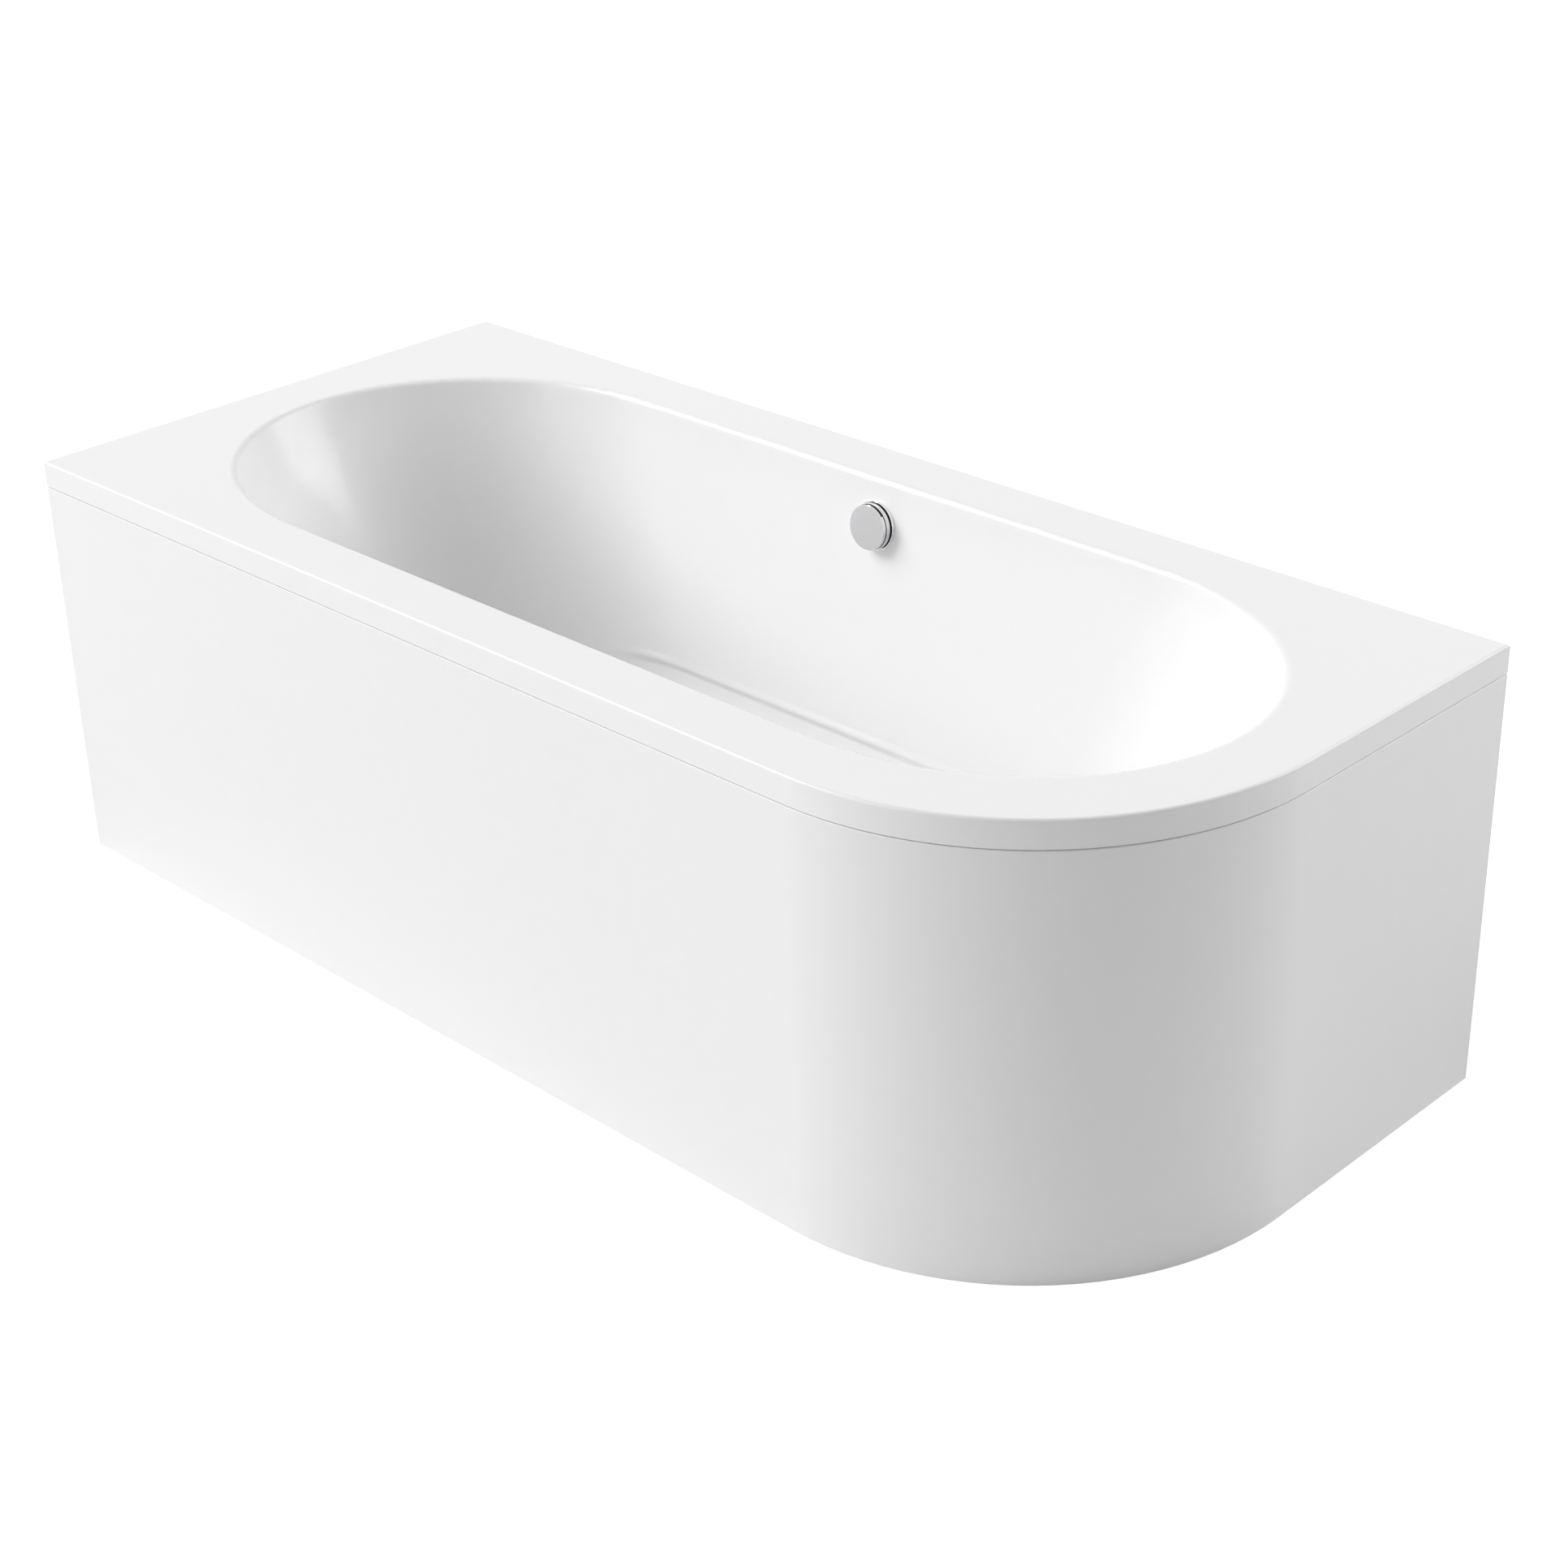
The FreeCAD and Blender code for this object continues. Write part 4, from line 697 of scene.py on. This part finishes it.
class BATH_OT_control(Operator):
    """Dresses the chrome: the overflow's rose and knob, the waste's flange and plug"""

    bl_idname = "bath.control"
    bl_label = "Overflow Control"

    def execute(self, context):
        settings = context.scene.bath_finish
        chrome = plated("chrome", settings.chrome_colour, roughness=0.05, spread=0.02)
        smooth_copy("overflow_rose", "rose", "bath", [chrome])
        # The knob's groove and its back are coloured near-black as painted shade.
        painted_groove_shade = moulded("knob_liner", settings.rubber_and_painted_shade_colour, roughness=0.6)
        smooth_copy("overflow_knob", "knob_cap", "knob", [chrome, painted_groove_shade],
                    is_knob_painted_shade)
        smooth_copy("waste_flange", "drain_flange", "bath", [chrome])
        smooth_copy("waste_plug", "plug_cap", "plug", [chrome])
        return {"FINISHED"}


class BATH_OT_timber(Operator):
    """Dresses the board, the battens and the panel's stiffeners"""

    bl_idname = "bath.timber"
    bl_label = "Timber"

    def execute(self, context):
        colour = context.scene.bath_finish.timber_colour
        finish_flat(chipboard(), "base_board")
        finish_flat(softwood("batten_along_x", colour, (0.05, 1.0, 1.0)),
                    "rim_batten_back", "rim_batten_front")
        finish_flat(softwood("batten_along_y", colour, (1.0, 0.05, 1.0)),
                    "rim_batten_left", "rim_batten_right")
        finish_flat(softwood("stiffener_along_z", colour, (1.0, 1.0, 0.05)),
                    "panel_stiffeners")
        return {"FINISHED"}


class BATH_OT_frame(Operator):
    """Dresses the cradles, feet, brackets and screws"""

    bl_idname = "bath.frame_parts"
    bl_label = "Frame and Feet"

    def execute(self, context):
        settings = context.scene.bath_finish
        paint = painted("channel_paint", settings.channel_colour)
        finish_flat(paint, "cradle_left", "cradle_right")
        zinc = plated("zinc_plating", settings.zinc_colour, roughness=0.36, spread=0.1)
        finish_flat(zinc, "wall_bracket_left", "wall_bracket_right")
        finish_round(zinc, "zinc", "bracket_screws", "cradle_screws", "foot_lock_nuts")
        rod = threaded("threaded_zinc", settings.zinc_colour)
        finish_round(rod, "zinc", *nodes_named("foot_stud_"))
        plastic = moulded("foot_plastic", settings.rubber_and_painted_shade_colour, roughness=0.55)
        finish_round(plastic, "pad", *nodes_named("foot_pad_"))
        return {"FINISHED"}


class BATH_OT_plumbing(Operator):
    """Dresses the overflow body, the hose, the cable, the seals and the waste"""

    bl_idname = "bath.plumbing"
    bl_label = "Plumbing"

    def execute(self, context):
        settings = context.scene.bath_finish
        body = moulded("white_moulding", settings.moulding_colour, roughness=0.38)
        finish_round(body, "moulded", "overflow_elbow", "hose_nut_top", "hose_nut_low",
                     "waste_body", "cable_clip_top", "cable_clip_low")
        ribbed = moulded("hose_plastic", settings.hose_colour, roughness=0.34)
        finish_round(ribbed, "hose", "overflow_hose")
        casing = moulded("cable_casing", settings.rubber_and_painted_shade_colour, roughness=0.4)
        finish_round(casing, "cable", "control_cable")
        rubber = moulded("seal_rubber", settings.rubber_and_painted_shade_colour, roughness=0.75,
                         grain_scale=1200.0)
        finish_round(rubber, "rubber", "overflow_seal", "waste_seal", "waste_plug_seal")
        ferrule = plated("ferrule_plating", settings.zinc_colour, roughness=0.25, spread=0.06)
        finish_round(ferrule, "ferrule", "cable_gland_top", "cable_gland_low")
        brass = plated("brass", settings.brass_colour, roughness=0.28, spread=0.08)
        finish_round(brass, "brass", "overflow_spindle", "overflow_crank", "waste_lever")
        return {"FINISHED"}


# ---------------------------------------------------------------- stage


def seen_directly(tree):
    """1 for what the camera, a reflection or a clear solid shows, else 0."""
    rays = tree.nodes.new("ShaderNodeLightPath").outputs
    either = math_node(tree, "MAXIMUM", rays["Is Camera Ray"], rays["Is Glossy Ray"])
    return math_node(tree, "MAXIMUM", either, rays["Is Transmission Ray"])


def add_camera(settings):
    azimuth, elevation, roll = settings.azimuth, settings.elevation, settings.roll
    back = Vector((math.sin(azimuth) * math.cos(elevation),
                   -math.cos(azimuth) * math.cos(elevation), math.sin(elevation)))
    level_right = Vector((math.cos(azimuth), math.sin(azimuth), 0))
    level_up = back.cross(level_right)
    right = level_right * math.cos(roll) + level_up * math.sin(roll)
    up = back.cross(right)
    data = bpy.data.cameras.new("photo_camera")
    data.sensor_width = SENSOR_WIDTH
    data.lens = SENSOR_WIDTH * settings.focal_pixels / PHOTO_PIXELS
    camera = linked_object("photo_camera", data)
    place = Vector(settings.target) + back * settings.distance
    turn = Matrix((right, up, back)).transposed().to_4x4()
    camera.matrix_world = Matrix.Translation(place) @ turn
    bpy.context.scene.camera = camera


def add_lamp(name, turn, rise, distance, width, power):
    """A square soft box that faces the origin. Its turn and rise are in degrees."""
    data = bpy.data.lights.new(name, "AREA")
    data.shape = "SQUARE"
    data.size = width
    data.energy = power
    lamp = linked_object(name, data)
    turn, rise = math.radians(turn), math.radians(rise)
    away = Vector((math.cos(turn) * math.cos(rise),
                   math.sin(turn) * math.cos(rise), math.sin(rise)))
    aim = away.to_track_quat("Z", "Y").to_matrix().to_4x4()
    lamp.matrix_world = Matrix.Translation(away * distance) @ aim


def add_sky(strength):
    world = bpy.data.worlds.new("studio")
    world.use_nodes = True
    tree = world.node_tree
    tree.nodes.clear()
    output = tree.nodes.new("ShaderNodeOutputWorld")
    sky = tree.nodes.new("ShaderNodeBackground")
    sky.inputs["Color"].default_value = WHITE
    tree.links.new(between(tree, seen_directly(tree), strength, 1.0), sky.inputs["Strength"])
    tree.links.new(sky.outputs["Background"], output.inputs["Surface"])
    bpy.context.scene.world = world


def add_floor(glow):
    mesh = bmesh.new()
    bmesh.ops.create_grid(mesh, x_segments=1, y_segments=1, size=FLOOR_REACH)
    floor = linked_object("studio_floor", filled_mesh("studio_floor", mesh))
    material, tree, shader = new_material("studio_floor")
    shader.inputs["Base Color"].default_value = (FLOOR_GREY, FLOOR_GREY, FLOOR_GREY, 1.0)
    shader.inputs["Roughness"].default_value = 0.9
    shader.inputs["Specular IOR Level"].default_value = 0.0
    shader.inputs["Emission Color"].default_value = WHITE
    share = between(tree, seen_directly(tree), 0.0, glow)
    tree.links.new(share, shader.inputs["Emission Strength"])
    floor.data.materials.append(material)


class BATH_OT_stage(Operator):
    """Sets the camera, the lamps, the sky and the floor"""

    bl_idname = "bath.stage"
    bl_label = "Stage"

    def execute(self, context):
        settings = context.scene.bath_stage
        add_camera(settings)
        add_sky(settings.sky_strength)
        add_floor(settings.floor_glow)
        for *place, power in LAMPS:
            add_lamp(*place, getattr(settings, power))
        context.scene.view_settings.view_transform = "Standard"
        return {"FINISHED"}


# ---------------------------------------------------------------- panel and run


class BATH_PT_sidebar(Panel):
    """Lists the bath's pieces"""

    bl_idname = "BATH_PT_sidebar"
    bl_label = "Corner Bath"
    bl_space_type = "VIEW_3D"
    bl_region_type = "UI"
    bl_category = "Bath"

    def draw(self, context):
        for operator in PIECES:
            self.layout.operator(operator.bl_idname)
        for settings in (context.scene.bath_finish, context.scene.bath_stage):
            box = self.layout.box()
            for name in settings.__annotations__:
                box.prop(settings, name)


PIECES = (
    BATH_OT_stage,
    BATH_OT_shell,
    BATH_OT_panel,
    BATH_OT_control,
    BATH_OT_timber,
    BATH_OT_frame,
    BATH_OT_plumbing,
)
CLASSES = (BathFinishSettings, BathStageSettings, *PIECES, BATH_PT_sidebar)


def register():
    for cls in CLASSES:
        bpy.utils.register_class(cls)
    bpy.types.Scene.bath_finish = PointerProperty(type=BathFinishSettings)
    bpy.types.Scene.bath_stage = PointerProperty(type=BathStageSettings)


def unregister():
    del bpy.types.Scene.bath_stage
    del bpy.types.Scene.bath_finish
    for cls in reversed(CLASSES):
        bpy.utils.unregister_class(cls)


def main():
    register()
    bpy.ops.bath.stage()
    bpy.ops.bath.shell()
    bpy.ops.bath.panel()
    bpy.ops.bath.control()
    bpy.ops.bath.timber()
    bpy.ops.bath.frame_parts()
    bpy.ops.bath.plumbing()


if __name__ == "__main__":
    main()
